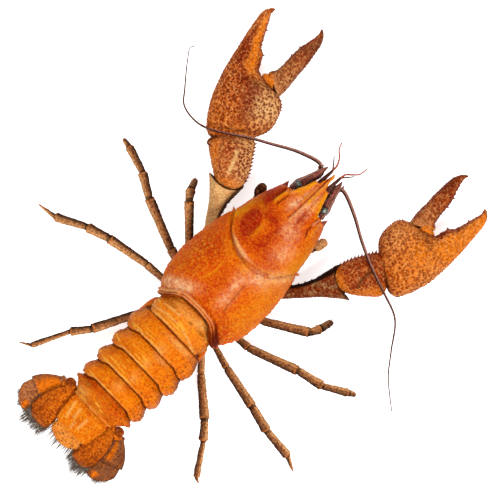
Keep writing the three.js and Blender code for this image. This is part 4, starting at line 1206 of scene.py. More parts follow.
class CRAYFISH_OT_fringe(Operator):
    """Builds the fringe of stiff hairs along the ends of the fan's blades"""

    bl_idname = "crayfish.fringe"
    bl_label = "Fan fringe"

    def execute(self, context):
        draw = np.random.default_rng(7)
        parts = [self.edge(draw, TELSON, *telson_edges(), 1, "telson")]
        for name, side in SIDES.items():
            for kind in BLADE_EDGES:
                line = FAN_BLADES[name][kind]
                parts.append(self.edge(draw, line, *blade_edges(name, kind), side, kind))
        piece("fan_fringe", parts, "hair_coat")
        return {"FINISHED"}

    def edge(self, draw, line, outer, inner, side, kind):
        """The hairs of one blade's end. They stand at uneven distances across it, each at the last place
        where the blade is that wide, and fan out in tufts of uneven length."""
        reach, count, radius = FRINGES[kind]
        share = (np.arange(count) + draw.uniform(0.1, 0.9, count)) / count
        x = mix(inner(FRINGE_SPAN_AT), outer(FRINGE_SPAN_AT), share)
        places = np.linspace(0.7, 1, 300)[:, None]
        within = (inner(places) <= x) & (outer(places) >= x)
        t = np.max(np.where(within, places, 0.7), axis=0)
        feet = np.stack([-x, t * length_of(line) - 0.35, np.full(count, -0.12)], axis=1)
        roots = mirrored(on_line(feet, line), side)
        fanned = np.stack([x * -0.04, np.ones(count), np.zeros(count)], axis=1)
        fanned += draw.normal(0, 0.08, (count, 3))
        ways = mirrored(on_line(fanned, [[0, 0, 0], np.subtract(line[1], line[0])]), side) * [1, 1, 0.2]
        ways /= np.linalg.norm(ways, axis=1, keepdims=True)
        tufts = 0.75 + 0.4 * noise(roots, 1.3, 15)
        longest = bpy.context.scene.crayfish_sizes.hair_length / MM * reach
        lengths = longest * draw.uniform(0.4, 1.15, count) * tufts
        sag = np.minimum(0.2, np.maximum(roots[:, 2] - 0.25, 0.0) / lengths)
        return hairs(roots, ways, lengths, radius * draw.uniform(0.7, 1.2, count), sag)


# ---- claw arms ----

CLAW_ARMS = {
    "left": {
        "bend": [12.6, 18.0, 5.0], "elbow": [22.3, 34.2, 7.6], "hand": [30.1, 43.6, 7.2],
        "tip": [48.7, 81.0, 4.2], "wrist_slant": 0.06, "wrist_short": 0.6, "wrist_reach": 1.06,
        "finger": {"across": -8.15, "along": 20.3, "open": 25.5, "length": 21.6},
    },
    "right": {
        "bend": [12.2, 20.0, 5.0], "elbow": [25.8, 38.2, 7.6], "hand": [32.4, 48.3, 7.2],
        "tip": [39.3, 84.5, 4.2], "wrist_slant": 0.12, "wrist_short": 1.2, "wrist_reach": 1,
        "finger": {"across": -6.9, "along": 18.3, "open": 18.8, "length": 20.2},
    },
}
ARM_OUTER = profile([[0, 1.5], [0.35, 2.2], [0.65, 2.7], [0.92, 4.1], [1, 4.9]])
ARM_INNER = profile([[0, -1.5], [0.4, -1.9], [0.6, -2.7], [0.8, -4.4], [1, -6.4]])
ARM_THICK = profile([[0, 1.5], [0.4, 2.2], [0.8, 3.4], [1, 3.6]])
WRIST_OUTER = profile([[0, 1.2], [0.2, 3.0], [0.5, 4.4], [0.8, 5.4], [0.92, 4.9], [1, 3.2]])
WRIST_INNER = profile([[0, -3.8], [0.17, -5.8], [0.44, -7.1], [0.66, -7.4], [0.86, -7.6], [1, -5.6]])
WRIST_THICK = profile([[0, 2.2], [0.15, 3.6], [0.5, 4.7], [0.85, 4.6], [1, 3.0]])
PALM_OUTER = profile(
    [[0, 5.3], [0.05, 7.2], [0.15, 8.4], [0.28, 8.75], [0.41, 8.25], [0.53, 7.4], [0.65, 6.35], [0.8, 4.9],
     [0.92, 3.5], [0.975, 2.2], [1, 0.4]]
)
PALM_INNER = profile(
    [[0, -5.2], [0.05, -8.0], [0.1, -10.0], [0.17, -11.2], [0.25, -11.8], [0.32, -12.0], [0.37, -11.4],
     [0.41, -9.6], [0.44, -7.0], [0.5, -3.2], [0.54, -1.7], [0.65, -1.4], [0.7, -0.2], [0.82, 0.1],
     [0.95, 0.35], [1, -0.1]]
)
PALM_THICK = profile(
    [[0, 3.2], [0.1, 4.9], [0.26, 6.1], [0.42, 5.2], [0.55, 3.9], [0.8, 2.4], [0.95, 1.3], [1, 0.4]]
)
FINGER_BITE = profile(
    [[0, 4.0], [0.05, 3.6], [0.12, 2.8], [0.26, 2.6], [0.44, 2.8], [0.58, 2.7], [0.76, 1.95], [0.92, 1.7],
     [1, 2.3]]
)
FINGER_BACK = profile(
    [[0, -3.4], [0.12, -3.25], [0.31, -2.7], [0.49, -2.35], [0.72, -1.7], [0.85, -1.05], [0.95, 0.2],
     [1, 1.5]]
)
FINGER_THICK = profile([[0, 2.4], [0.12, 3.2], [0.5, 2.6], [0.9, 1.3], [1, 0.4]])
# The teeth of both fingers: how far along each stands, and its height.
PALM_TEETH = ((0.58, 1.1), (0.65, 1.6), (0.72, 1.1), (0.83, 1.6), (0.9, 1.0))
FINGER_TEETH = ((0.3, 1.0), (0.44, 1.5), (0.52, 1.0), (0.6, 1.5), (0.74, 1.0))
# How far each piece of an arm leans as a whole to its shell's other colours.
CLAW_TONES = {
    "left": {
        "arm": {"pale": 1.2},
        "wrist": {"pale": 0.1},
        "palm": {"dark": 0.12},
        "finger": {"dark": 0.4, "crease": 0.14, "pale": 0.1},
    },
    "right": {
        "arm": {"dark": 0.8, "crease": 0.4},
        "wrist": {"dark": 0.4},
        "palm": {"spot": 0.35},
        "finger": {"dark": 0.4, "crease": 0.1},
    },
}
WRIST_FURROW = {
    "left": ([(-25.2, 42.6), (-23.6, 39.6), (-22.6, 36.8)], "pale"),
    "right": ([(28.4, 46.4), (28.0, 43.4), (28.8, 40.4)], "crease"),
}
WRIST_HOOK = [[30.2, 42.6, 10.4], [32.2, 41.4, 10.0], [33.6, 39.8, 9.4], [33.4, 38.3, 9.0], [32.2, 38.2, 9.4]]


def claw_surface(grid, strength, seed):
    """The claws' rough shell: crowded round bumps of two sizes over a slow swell. Gives the heights, the
    dark dots that the larger bumps are and the pale ones that the smaller bumps are."""
    coarse = grains(grid, 0.74, 0.42, seed)
    fine = grains(grid, 0.5, 0.22, seed + 9, 0.7)
    height = strength * (0.8 * coarse + 0.3 * fine) + 0.12 * noise(grid, 4.0, seed + 20)
    dark = smooth(0.1, 0.5, coarse)
    return height, dark * (0.8 + 0.2 * noise(grid, 3.0, seed + 30)), smooth(0.1, 0.5, fine) * (1 - dark)


def turned(grid, degrees, across, along):
    """The grid turned level by degrees and moved."""
    c, s = math.cos(math.radians(degrees)), math.sin(math.radians(degrees))
    x, y = grid[..., 0], grid[..., 1]
    return np.stack([x * c - y * s + across, x * s + y * c + along, grid[..., 2]], axis=-1)


def cupped(t, grid, depth):
    """The rows and the grid of a limb piece with its end sunk into a cup: its last ring is drawn in, and
    drawn in again further back."""
    middle = grid[-1:].mean(axis=1, keepdims=True)
    lip = mix(grid[-1:], middle, 0.12)
    floor = mix(grid[-1:], middle, 0.3) - np.array([0, depth, 0])
    return np.concatenate([t, [[1.02], [1.05]]]), np.concatenate([grid, lip, floor])


def edge_foot(inner, lean, t, length):
    """Where a thorn stands on the inner edge of a piece."""
    x = float(inner(t)) + 0.2
    return x, t * length + float(lean(np.array(t), np.array(x))), 0.5


class CRAYFISH_OT_claws(Operator):
    """Builds both claw arms: upper arm, wrist, palm with its fixed finger, and moving finger"""

    bl_idname = "crayfish.claws"
    bl_label = "Claw arms"

    def execute(self, context):
        for name, side in SIDES.items():
            arm = CLAW_ARMS[name]
            self.upper_arm(name, side, arm)
            self.wrist(name, side, arm)
            self.palm(name, side, arm)
            self.finger(name, side, arm)
        return {"FINISHED"}

    def shell(self, limb, name, side, grid, height, masks, extra=(), joints=()):
        """A piece of an arm in its own tones, with its thorns and with other small parts, each a grid and its
        masks: the joints that close it to the next piece, its root or a hook."""
        for kind, share in CLAW_TONES[name][limb].items():
            masks[kind] = masks.get(kind, 0) + share
        parts = [skin(raised(grid, height, side), masks, side)]
        parts += [skin(mirrored(part, side), {"dark": 0.7, "dot": 0.5}, side) for part in extra]
        parts += [skin(mirrored(part, side), marks, side) for part, marks in joints]
        node = f"claw_{limb}_{name}"
        piece(f"{node}_shell", parts, "claw_shell", [node])

    def upper_arm(self, name, side, arm):
        """The upper arm, whose end is a slanting cup, with thorns on its inner edge and a root to the hip."""
        strength = bpy.context.scene.crayfish_sizes.bump_height
        line = shortened([arm["bend"], arm["elbow"]], 0, 0.2)
        length = length_of(line)
        lean = lambda t, x: t**6 * (np.where(x < -2.6, 0.15, 0.06) * (x + 2.6) ** 2 - 2.2)
        t, _, grid = limb_grid(length, ARM_OUTER, ARM_INNER, ARM_THICK, 110, 130, lean=lean, ends=(0.5, 0.25))
        t, grid = cupped(t, grid, 2.0)
        share = (grid[..., 0] - ARM_INNER(t)) / (ARM_OUTER(t) - ARM_INNER(t))
        inner_edge = smooth(0.3, 0.1, share) * smooth(0.1, 0.3, t)
        grid = mirrored(on_line(grid, line), side)
        height, dot, glint = claw_surface(grid, strength * 0.6, 301 + side)
        thorns = [
            on_line(thorn((float(ARM_INNER(k)) + 0.2, k * length, 0.4), (-1, 0.35, 0.1), 1.3, 0.5), line)
            for k in np.linspace(0.3, 0.94, 8)
        ]
        hip = [HIPS["x"], HIPS["first"], HIPS["z"]]
        into = shortened([arm["bend"], arm["elbow"]], 1.0, 0)[0]
        root = whip([hip, arm["bend"], into], profile([[0, 1.0], [0.3, 1.5], [1, 1.4]]), 40, 40)[0]
        masks = {
            "dot": (0.22 if side < 0 else 0.8) * dot * (t < 1),
            "crease": smooth(1.0, 1.015, t) + 0.3 * smooth(0.975, 0.99, t) + 0.9 * inner_edge,
            "dark": 0.3 * smooth(0.2, 0.05, t) + 0.45 * band(t, 0.93, 0.03) * (side < 0),
            "spot": 0.15 * smooth(0.1, 0.5, rough(grid, 1.6, 313)) * (side < 0),
            "pale": 0.45 * smooth(0.0, 0.5, rough(grid, 1.2, 311)) * (side > 0) + 0.4 * glint,
        }
        joints = [(root, {"dark": 0.7, "crease": 0.4})]
        self.shell("arm", name, side, grid, height * (t < 1), masks, thorns, joints)

    def wrist(self, name, side, arm):
        """The wrist, with a furrow on top, thorns on its inner edge and dark joint skin where it bends,
        deepened as painted shade; the left one carries a small hook."""
        strength = bpy.context.scene.crayfish_sizes.bump_height
        line = shortened([arm["elbow"], arm["hand"]], -2.4, arm["wrist_short"] - 1.6)
        length = length_of(line)
        inner = lambda t: arm["wrist_reach"] * WRIST_INNER(t)
        lean = lambda t, x: 0.3 * x * (1 - t) ** 3 - arm["wrist_slant"] * x * t**3
        t, angle, grid = limb_grid(
            length, WRIST_OUTER, inner, WRIST_THICK, 130, 190, lean=lean, ends=(0.9, 0.9)
        )
        across = grid[..., 0]
        grid = mirrored(on_line(grid, line), side)
        height, dot, glint = claw_surface(grid, strength, 321 + side)
        furrow_line, furrow_kind = WRIST_FURROW[name]
        furrow = stroke(grid[..., 0], grid[..., 1], furrow_line, 0.6) * (np.sin(angle) > 0)
        thorns = [
            on_line(thorn(edge_foot(inner, lean, k, length), (-1, 0.4, 0.1), 1.9, 0.6), line)
            for k in np.linspace(0.2, 0.92, 12)
        ]
        smoother = smooth(1.5, 3.5, across) + smooth(0.25, 0.1, t)
        masks = {
            "dot": dot * np.maximum(1 - 0.7 * smoother, 0.2) * (1 - furrow),
            "pale": 0.4 * smooth(-1, -5, across) * (side < 0) + 0.35 * glint,
            "dark": 0.2,
            "spot": 0.55 * smoother,
            "crease": 0.7 * smooth(0.05, 0.0, t) + 0.8 * smooth(0.95, 1.0, t),
        }
        masks[furrow_kind] = masks[furrow_kind] + 0.7 * furrow
        hook = whip(WRIST_HOOK, lambda t: 0.5 - 0.2 * t, 40, 16)[0]
        plug = on_line(knob((-1.4, 0.8, -0.4), (4.8, 2.2, 2.6)), line)
        socket = on_line(knob((3.4, length - 2.2, 0.4), (1.6, 1.3, 1.6)), line)
        neck = on_line(knob((-1.0, length + 0.2, -0.6), (4.6, 2.2, 2.6)), line)
        # The plug and the neck are joint skin, made nearly black as painted shade inside the joints.
        dark = {"crease": 0.95}
        joints = [(plug, dark), (neck, dark), (socket, {"crease": 0.8, "dark": 1.0})]
        if side < 0:
            joints.append((hook, {"dark": 0.8, "crease": 0.6}))
        self.shell("wrist", name, side, grid, height - 0.25 * furrow, masks, thorns, joints)

    def palm(self, name, side, arm):
        """The palm with its fixed finger, thorns on its inner edge, teeth and a hooked tip."""
        strength = bpy.context.scene.crayfish_sizes.bump_height
        line = [arm["hand"], arm["tip"]]
        length = length_of(line)
        lean = lambda t, x: -0.27 * x * np.maximum(0, 1 - t / 0.3) ** 2
        t, angle, grid = limb_grid(
            length, PALM_OUTER, PALM_INNER, PALM_THICK, 290, 290, lean=lean, ends=(1.0, 0.2)
        )
        share = (grid[..., 0] - PALM_INNER(t)) / (PALM_OUTER(t) - PALM_INNER(t))
        grid = mirrored(on_line(grid, line), side)
        fade = (1 - 0.5 * smooth(0.6, 0.95, t)) * (0.3 + 0.7 * smooth(-0.9, -0.3, np.sin(angle)))
        height, dot, glint = claw_surface(grid, strength, 341 + side)
        extra = [
            on_line(thorn(edge_foot(PALM_INNER, lean, k, length), (-1, 0.15, 0.2), 1.25, 0.42), line)
            for k in np.linspace(0.08, 0.38, 15)
        ]
        extra += [
            on_line(thorn((float(PALM_INNER(k)) + 0.3, k * length, 0), (-1, 0.1, 0), size, 0.7), line)
            for k, size in PALM_TEETH
        ]
        extra.append(on_line(thorn((0.2, length - 0.8, 0), (-0.75, 1, 0), 2.2, 0.55), line))
        marks = self.left_palm if side < 0 else self.right_palm
        masks = marks(t, share)
        masks["dot"] = (1.1 if side < 0 else 0.9) * dot * (1 - 0.6 * masks["spot"]) * fade
        masks["dark"] = masks["dark"] + 0.8 * smooth(0.95, 1.0, t)
        masks["pale"] = masks["pale"] + 0.65 * glint * (1 - 0.6 * np.minimum(masks["dark"], 1))
        # The blob of crease is painted shade just before the moving finger's root.
        masks["crease"] = 0.5 * smooth(0.02, 0.0, t) + 0.35 * blob(share, t, (0.35, 0.43), (0.22, 0.03))
        self.shell("palm", name, side, grid, height * fade, masks, extra)

    def left_palm(self, t, share):
        """A dark band up the middle, a pale inner lobe and, on the fixed finger, an orange stripe beside a
        dark inner edge."""
        finger = smooth(0.45, 0.55, t)
        middle = band(share, 0.44 + 0.2 * finger, 0.16) * smooth(0.05, 0.15, t) * smooth(0.9, 0.75, t)
        stripe = finger * band(share, 0.29, 0.2) * smooth(0.03, 0.16, share) * smooth(0.97, 0.85, t)
        return {
            "dark": 0.95 * middle + 0.35 * smooth(0.12, 0.0, t) + 0.25 * finger * smooth(0.55, 0.85, share)
            + 0.5 * finger * smooth(0.16, 0.02, share),
            "pale": 0.85 * blob(share, t, (0.17, 0.27), (0.22, 0.16)),
            "spot": 0.25 * smooth(0.3, 0.1, t) + 0.2 * smooth(0.75, 0.95, share) + 1.1 * stripe
            + 0.35 * blob(share, t, (0.3, 0.48), (0.2, 0.06)),
        }

    def right_palm(self, t, share):
        """A bright middle with a painted sheen between a dark line and a dark base, painted shade before the
        moving finger's root, and a pale and orange fixed finger with a dark inner edge."""
        finger = smooth(0.42, 0.55, t)
        line = band(share, 0.42, 0.05) * smooth(0.43, 0.36, t) * smooth(0.02, 0.1, t)
        return {
            # The last dark patch is painted shade before the moving finger's root.
            "dark": 0.2 * smooth(0.35, 0.1, share) * (1 - finger) + 0.75 * smooth(0.3, 0.08, share) * finger
            + 0.7 * smooth(0.16, 0.0, t) + 0.3 * smooth(0.9, 1.0, share) + 0.6 * line
            + 0.4 * blob(share, t, (0.5, 0.42), (0.16, 0.05)),
            # The first pale patch is a painted sheen.
            "pale": 0.65 * blob(share, t, (0.66, 0.33), (0.2, 0.12)) + 0.3 * smooth(0.85, 0.97, share)
            + 0.4 * blob(share, t, (0.2, 0.25), (0.2, 0.16))
            + 0.85 * finger * band(share, 0.45, 0.2) * smooth(0.95, 0.85, t),
            "spot": 0.6 * blob(share, t, (0.62, 0.34), (0.3, 0.2))
            + (1.05 * smooth(0.1, 0.32, share) - 0.35) * finger * smooth(0.98, 0.9, t),
        }

    def finger(self, name, side, arm):
        """The moving finger, open by its angle, with its teeth and the orange hinge that it turns on."""
        strength = bpy.context.scene.crayfish_sizes.bump_height
        moving = arm["finger"]
        length = moving["length"]
        line = [arm["hand"], arm["tip"]]
        t, _, grid = limb_grid(
            length, FINGER_BITE, FINGER_BACK, FINGER_THICK, 150, 140,
            lean=lambda t, x: 0.3 * x * np.maximum(0, 1 - t) ** 8, ends=(0.6, 0.2), first=-0.07,
        )
        share = (grid[..., 0] - FINGER_BACK(t)) / (FINGER_BITE(t) - FINGER_BACK(t))
        place = lambda part: on_line(turned(part, moving["open"], moving["across"], moving["along"]), line)
        grid = mirrored(place(grid), side)
        height, dot, glint = claw_surface(grid, strength * 0.8, 361 + side)
        fade = (1 - 0.6 * smooth(0.7, 1, t)) * smooth(0.0, 0.04, t)
        extra = [
            place(thorn((float(FINGER_BITE(k)) - 0.3, k * length, 0), (1, 0.1, 0), size, 0.7))
            for k, size in FINGER_TEETH
        ]
        masks = {
            "dot": dot * fade * 0.85,
            "pale": 0.35 * glint + 0.15 * smooth(0.5, 0.15, t),
            "dark": 0.4 * smooth(0.3, 0.7, t) + 0.6 * smooth(0.3, 0.46, np.abs(share - 0.5))
            + 0.8 * smooth(0.95, 1.0, t),
            "spot": 0.6 * smooth(0.04, 0.0, t) * smooth(0.5, 0.8, share),
            "crease": 0.9 * smooth(-0.035, -0.06, t) + 0.3 * smooth(0.4, 0.8, t) * smooth(0.7, 0.4, share),
        }
        hinge = place(knob((1.7, -0.7, 0.2), (3.3, 1.5, 2.4)))
        joints = [(hinge, {"spot": 0.75, "dark": 0.2})]
        self.shell("finger", name, side, grid, height * fade, masks, extra, joints)


# ---- walking legs ----

# Each leg from the front: the radii of its pieces, and the joints and the tip that they end at.
LEGS = {
    "left": [
        ([1.2, 1.35, 1.35, 1.25],
         [[15.0, 12.6, 4.6], [24.9, 22.3, 9.0], [26.9, 24.8, 6.6], [28.2, 28.0, 2.2]]),
        ([1.3, 1.4, 1.35, 1.2, 0.95],
         [[18.5, 8.2, 4.9], [33.8, 14.2, 9.6], [40.7, 18.1, 7.6], [49.2, 20.5, 2.6], [52.3, 20.9, 0.8]]),
        ([1.1, 1.35, 1.4, 1.25, 0.75],
         [[20.3, -0.4, 4.8], [33.6, -3.0, 9.2], [40.5, -5.3, 7.6], [49.6, -10.3, 2.2], [56.2, -11.3, 0.4]]),
        ([1.0, 1.35, 1.25, 0.85, 0.5],
         [[11.2, -12.6, 1.5], [17.7, -25.9, 6.0], [21.6, -31.1, 5.0], [26.8, -42.5, 1.4],
          [30.3, -44.7, 0.4]]),
    ],
    "right": [
        ([1.2, 1.4, 1.3, 1.3],
         [[16.5, 12.8, 4.7], [28.8, 20.7, 9.0], [30.2, 23.6, 6.6], [31.4, 27.8, 2.2]]),
        ([1.1, 1.15, 1.4, 1.35, 1.15, 1.0],
         [[13.2, 3.6, 3.6], [19.5, 4.2, 4.9], [34.6, 10.2, 9.6], [43.0, 12.2, 7.6], [50.2, 16.3, 2.6],
          [52.3, 17.5, 0.8]]),
        ([1.0, 1.0, 1.35, 1.4, 1.25, 0.8],
         [[11.8, -2.8, 3.3], [19.3, -4.8, 4.8], [32.8, -7.2, 9.2], [41.0, -9.2, 7.4], [51.0, -10.1, 2.2],
          [55.8, -12.4, 0.4]]),
        ([1.0, 1.4, 1.3, 0.95, 0.55],
         [[15.2, -11.8, 2.2], [25.7, -20.3, 7.6], [30.0, -25.1, 6.2], [36.6, -34.5, 1.4],
          [38.5, -35.4, 0.4]]),
    ],
}
LEG_SWELL = profile([[0, 0.86], [0.12, 0.92], [0.55, 0.98], [0.9, 1.1], [1, 1.02]])
# How far each leg leans as a whole to pale or, below 0, to dark.
LEG_LEANS = {"left": (0.2, -0.1, 0.4, 0.1), "right": (0.05, -0.35, -0.3, -0.05)}
LEG_GAP = 0.2  # each piece stops this short of a joint


class CRAYFISH_OT_legs(Operator):
    """Builds the eight walking legs, each a chain of flared pieces with soft joints"""

    bl_idname = "crayfish.legs"
    bl_label = "Walking legs"

    def execute(self, context):
        for name, side in SIDES.items():
            for index, (radii, ends) in enumerate(LEGS[name]):
                lean = LEG_LEANS[name][index]
                hip_z = HIPS["z"] - (HIPS["rear_drop"] if index == 3 else 0)
                hip = [HIPS["x"], HIPS["first"] - HIPS["pitch"] * (index + 1), hip_z]
                self.leg(f"leg_{index + 1}_{name}", side, [hip, *ends], radii, index, lean)
        return {"FINISHED"}

    def leg(self, node, side, joints, radii, index, lean):
        """Rings carried along each straight piece, its radius times the swell. A bright rim and a dark gap
        end each piece but the last, which tapers to a blunt end, or to a claw on the two rear pairs. One
        edge carries painted shade, less so on the right legs, and the other edge and the top painted
        highlights."""
        angle = ring_angles(40)
        edge = side * np.cos(angle)
        # Painted shade on one side of the leg; the other side and the crest get painted highlights.
        shady = (0.65 if side > 0 else 1) * smooth(0.1, 0.45, edge) * smooth(0.0, 0.35, np.sin(angle))
        crest = smooth(0.6, 1.0, np.sin(angle))
        rings, marks = [], []
        for k in range(len(radii)):
            last = k == len(radii) - 1
            line = shortened([joints[k], joints[k + 1]], LEG_GAP if k else 0, 0 if last else LEG_GAP)
            length = length_of(line)
            t = np.linspace(0, 1, max(14, int(length / 0.19)))[:, None]
            left = (1 - t) * length
            rim = 0 if last else band(left, 0.45, 0.26)
            gap = 0 if last else smooth(0.22, 0.08, left)
            taper = (1 - (0.3 if index < 2 else 0.7) * t) * np.sqrt(1 - 0.95 * t**10)
            size = radii[k] * (taper if last else LEG_SWELL(t) * (1 + 0.07 * rim - 0.2 * gap))
            ring = size * np.cos(angle), t * length, 0.92 * size * np.sin(angle)
            rings.append(on_line(np.stack(np.broadcast_arrays(*ring), 2), line))
            claw = smooth(0.3, 0.9, t) * (last and index >= 2)
            socket = smooth(0.2, 0.0, t * length) * (k > 0)
            hairy = 0.5 * (last and index == 0)
            tones = {
                "dark": max(0, -lean) + 1.4 * shady * (1 - 0.7 * rim) + hairy,
                "pale": max(0, lean) * (1 - shady) + 1.2 * smooth(0.15, 0.65, -edge)
                + (0.15 if k else 0.4) * crest,
                "spot": 0.6 * rim + 0.8 * claw,
                "crease": 0.8 * gap + 0.6 * socket + hairy + 0.5 * smooth(0.5, 0.8, edge) * shady,
            }
            marks.append(np.stack(np.broadcast_arrays(*tones.values())))
        grid = mirrored(np.concatenate(rings), side)
        masks = dict(zip(tones, np.concatenate(marks, axis=1)))
        beads = grains(grid, 0.6, 0.3, 410 + index, 0.9)
        masks["dot"] = 0.75 * smooth(0.3, 0.75, beads)
        height = 0.08 * rough(grid, 0.9, 400 + index) + 0.07 * beads
        parts = [skin(raised(grid, height, side), masks, side)]
        if index == 0:
            parts.append(self.tuft(grid[-len(rings[-1]):], side))
        piece(f"{node}_shell", parts, "leg_shell", [node])

    def tuft(self, grid, side):
        """Short hairs on the end of a first leg, from random places on its last rings."""
        draw = np.random.default_rng(21)
        count = 160
        row = draw.integers(len(grid) // 2, len(grid) - 1, count)
        column = draw.integers(0, grid.shape[1], count)
        out = normals(grid, side)[row, column]
        along = grid[-1].mean(axis=0) - grid[0].mean(axis=0)
        ways = 0.7 * along / np.linalg.norm(along) + 0.6 * out
        ways /= np.linalg.norm(ways, axis=1, keepdims=True)
        lengths = draw.uniform(0.5, 1.0, count)
        return hairs(grid[row, column] - 0.1 * out, ways, lengths, 0.05, 0.1, 3)


# ---- feelers, eyes and mouth limbs ----

FEELERS = {
    "left": [[5.2, 57.9, 12.4], [12, 55.9, 14.2], [20, 51.4, 14.8], [26, 47.9, 14.5], [33, 43.1, 13.4],
             [38, 40.6, 12.2], [42, 40.1, 10.8], [46.5, 41.1, 8.8], [50, 44.7, 6.0], [56, 51.6, 2.2],
             [58, 54.6, 0.9], [57.4, 56.2, 0.4]],
    "right": [[5.2, 57.2, 12.4], [12, 54.8, 14.2], [20, 50.6, 14.8], [28, 47.2, 14.3], [35.5, 44.8, 12.8],
              [43.5, 41.8, 9.6], [50, 34.2, 5.6], [55, 28.4, 2.6], [60, 24.4, 0.9], [63.5, 21.8, 0.4]],
}
FEELER_RADIUS = profile([[0, 0.66], [0.25, 0.5], [0.5, 0.36], [0.8, 0.24], [1, 0.14]])
FEELER_ROOT = [[6.5, 46.6, 10.0], [5.4, 50.0, 10.2], [3.6, 53.6, 10.7], [3.6, 57.2, 11.9]]
FEELER_ROOT_RINGS = profile(
    [[0, 0.7], [0.12, 1.0], [0.27, 1.45], [0.38, 1.2], [0.6, 1.2], [0.68, 1.0], [0.9, 1.25], [1, 0.9]]
)
# Dark red spikes beside the shield and on the root's end: foot, heading, height and radius.
ROOT_SPIKES = (
    ((8.0, 45.8, 11.0), (0.16, 1, 0.2), 3.3, 1.3),
    ((6.6, 45.6, 12.2), (0.0, 1, 0.2), 2.4, 0.9),
    ((4.6, 57.4, 12.0), (-0.3, 1, 0.1), 2.4, 0.6),
)
FEELER_SCALE = [[6.0, 47.0, 12.3], [3.0, 58.9, 14.0]]
SCALE_EDGE = profile([[0, 1.0], [0.2, 1.6], [0.5, 1.15], [0.85, 0.75], [1, 0.15]])
SCALE_THICK = profile([[0, 0.5], [0.5, 0.42], [1, 0.2]])
FORKS = {
    "left": {
        "stem": [[1.45, 46.9, 12.5], [1.5, 52.5, 12.9], [1.3, 59.2, 13.3]],
        "long": [[1.5, 61.1, 13.9], [2.6, 63.1, 14.6], [4.6, 65.0, 14.8], [5.4, 66.9, 14.6]],
        "short": [[2.9, 61.1, 13.2], [4.1, 62.5, 12.9]],
    },
    "right": {
        "stem": [[1.45, 46.9, 12.5], [1.7, 52.5, 12.9], [1.9, 59.4, 13.3]],
        "long": [[2.2, 61.0, 13.9], [3.6, 62.4, 14.4], [5.0, 64.0, 14.7], [5.5, 66.9, 14.6]],
        "short": [[3.2, 60.9, 13.2], [4.5, 62.6, 12.9]],
    },
}
STEM_RADIUS = profile([[0, 0.75], [0.5, 0.8], [0.85, 0.55], [1, 0.42]])
LONG_THREAD_RADIUS = profile([[0, 0.34], [1, 0.2]])
SHORT_THREAD_RADIUS = profile([[0, 0.3], [1, 0.17]])
EYE = {"root": [3.9, 46.9, 14.0], "at": [5.6, 49.0, 14.3], "radius": 1.2}
MOUTH_LIMBS = {
    "left": [[6.9, 33.0, 3.6], [10.6, 36.4, 4.5], [12.3, 39.4, 5.6], [12.4, 42.1, 5.4]],
    "right": [[6.9, 34.0, 3.6], [10.6, 37.4, 4.5], [12.1, 40.8, 5.6], [12.3, 43.6, 5.4]],
}
MOUTH_GIRTH = profile(
    [[0, 1.0], [0.2, 1.2], [0.55, 1.15], [0.62, 0.9], [0.7, 1.45], [0.9, 1.45], [0.98, 0.9], [1, 0.5]]
)


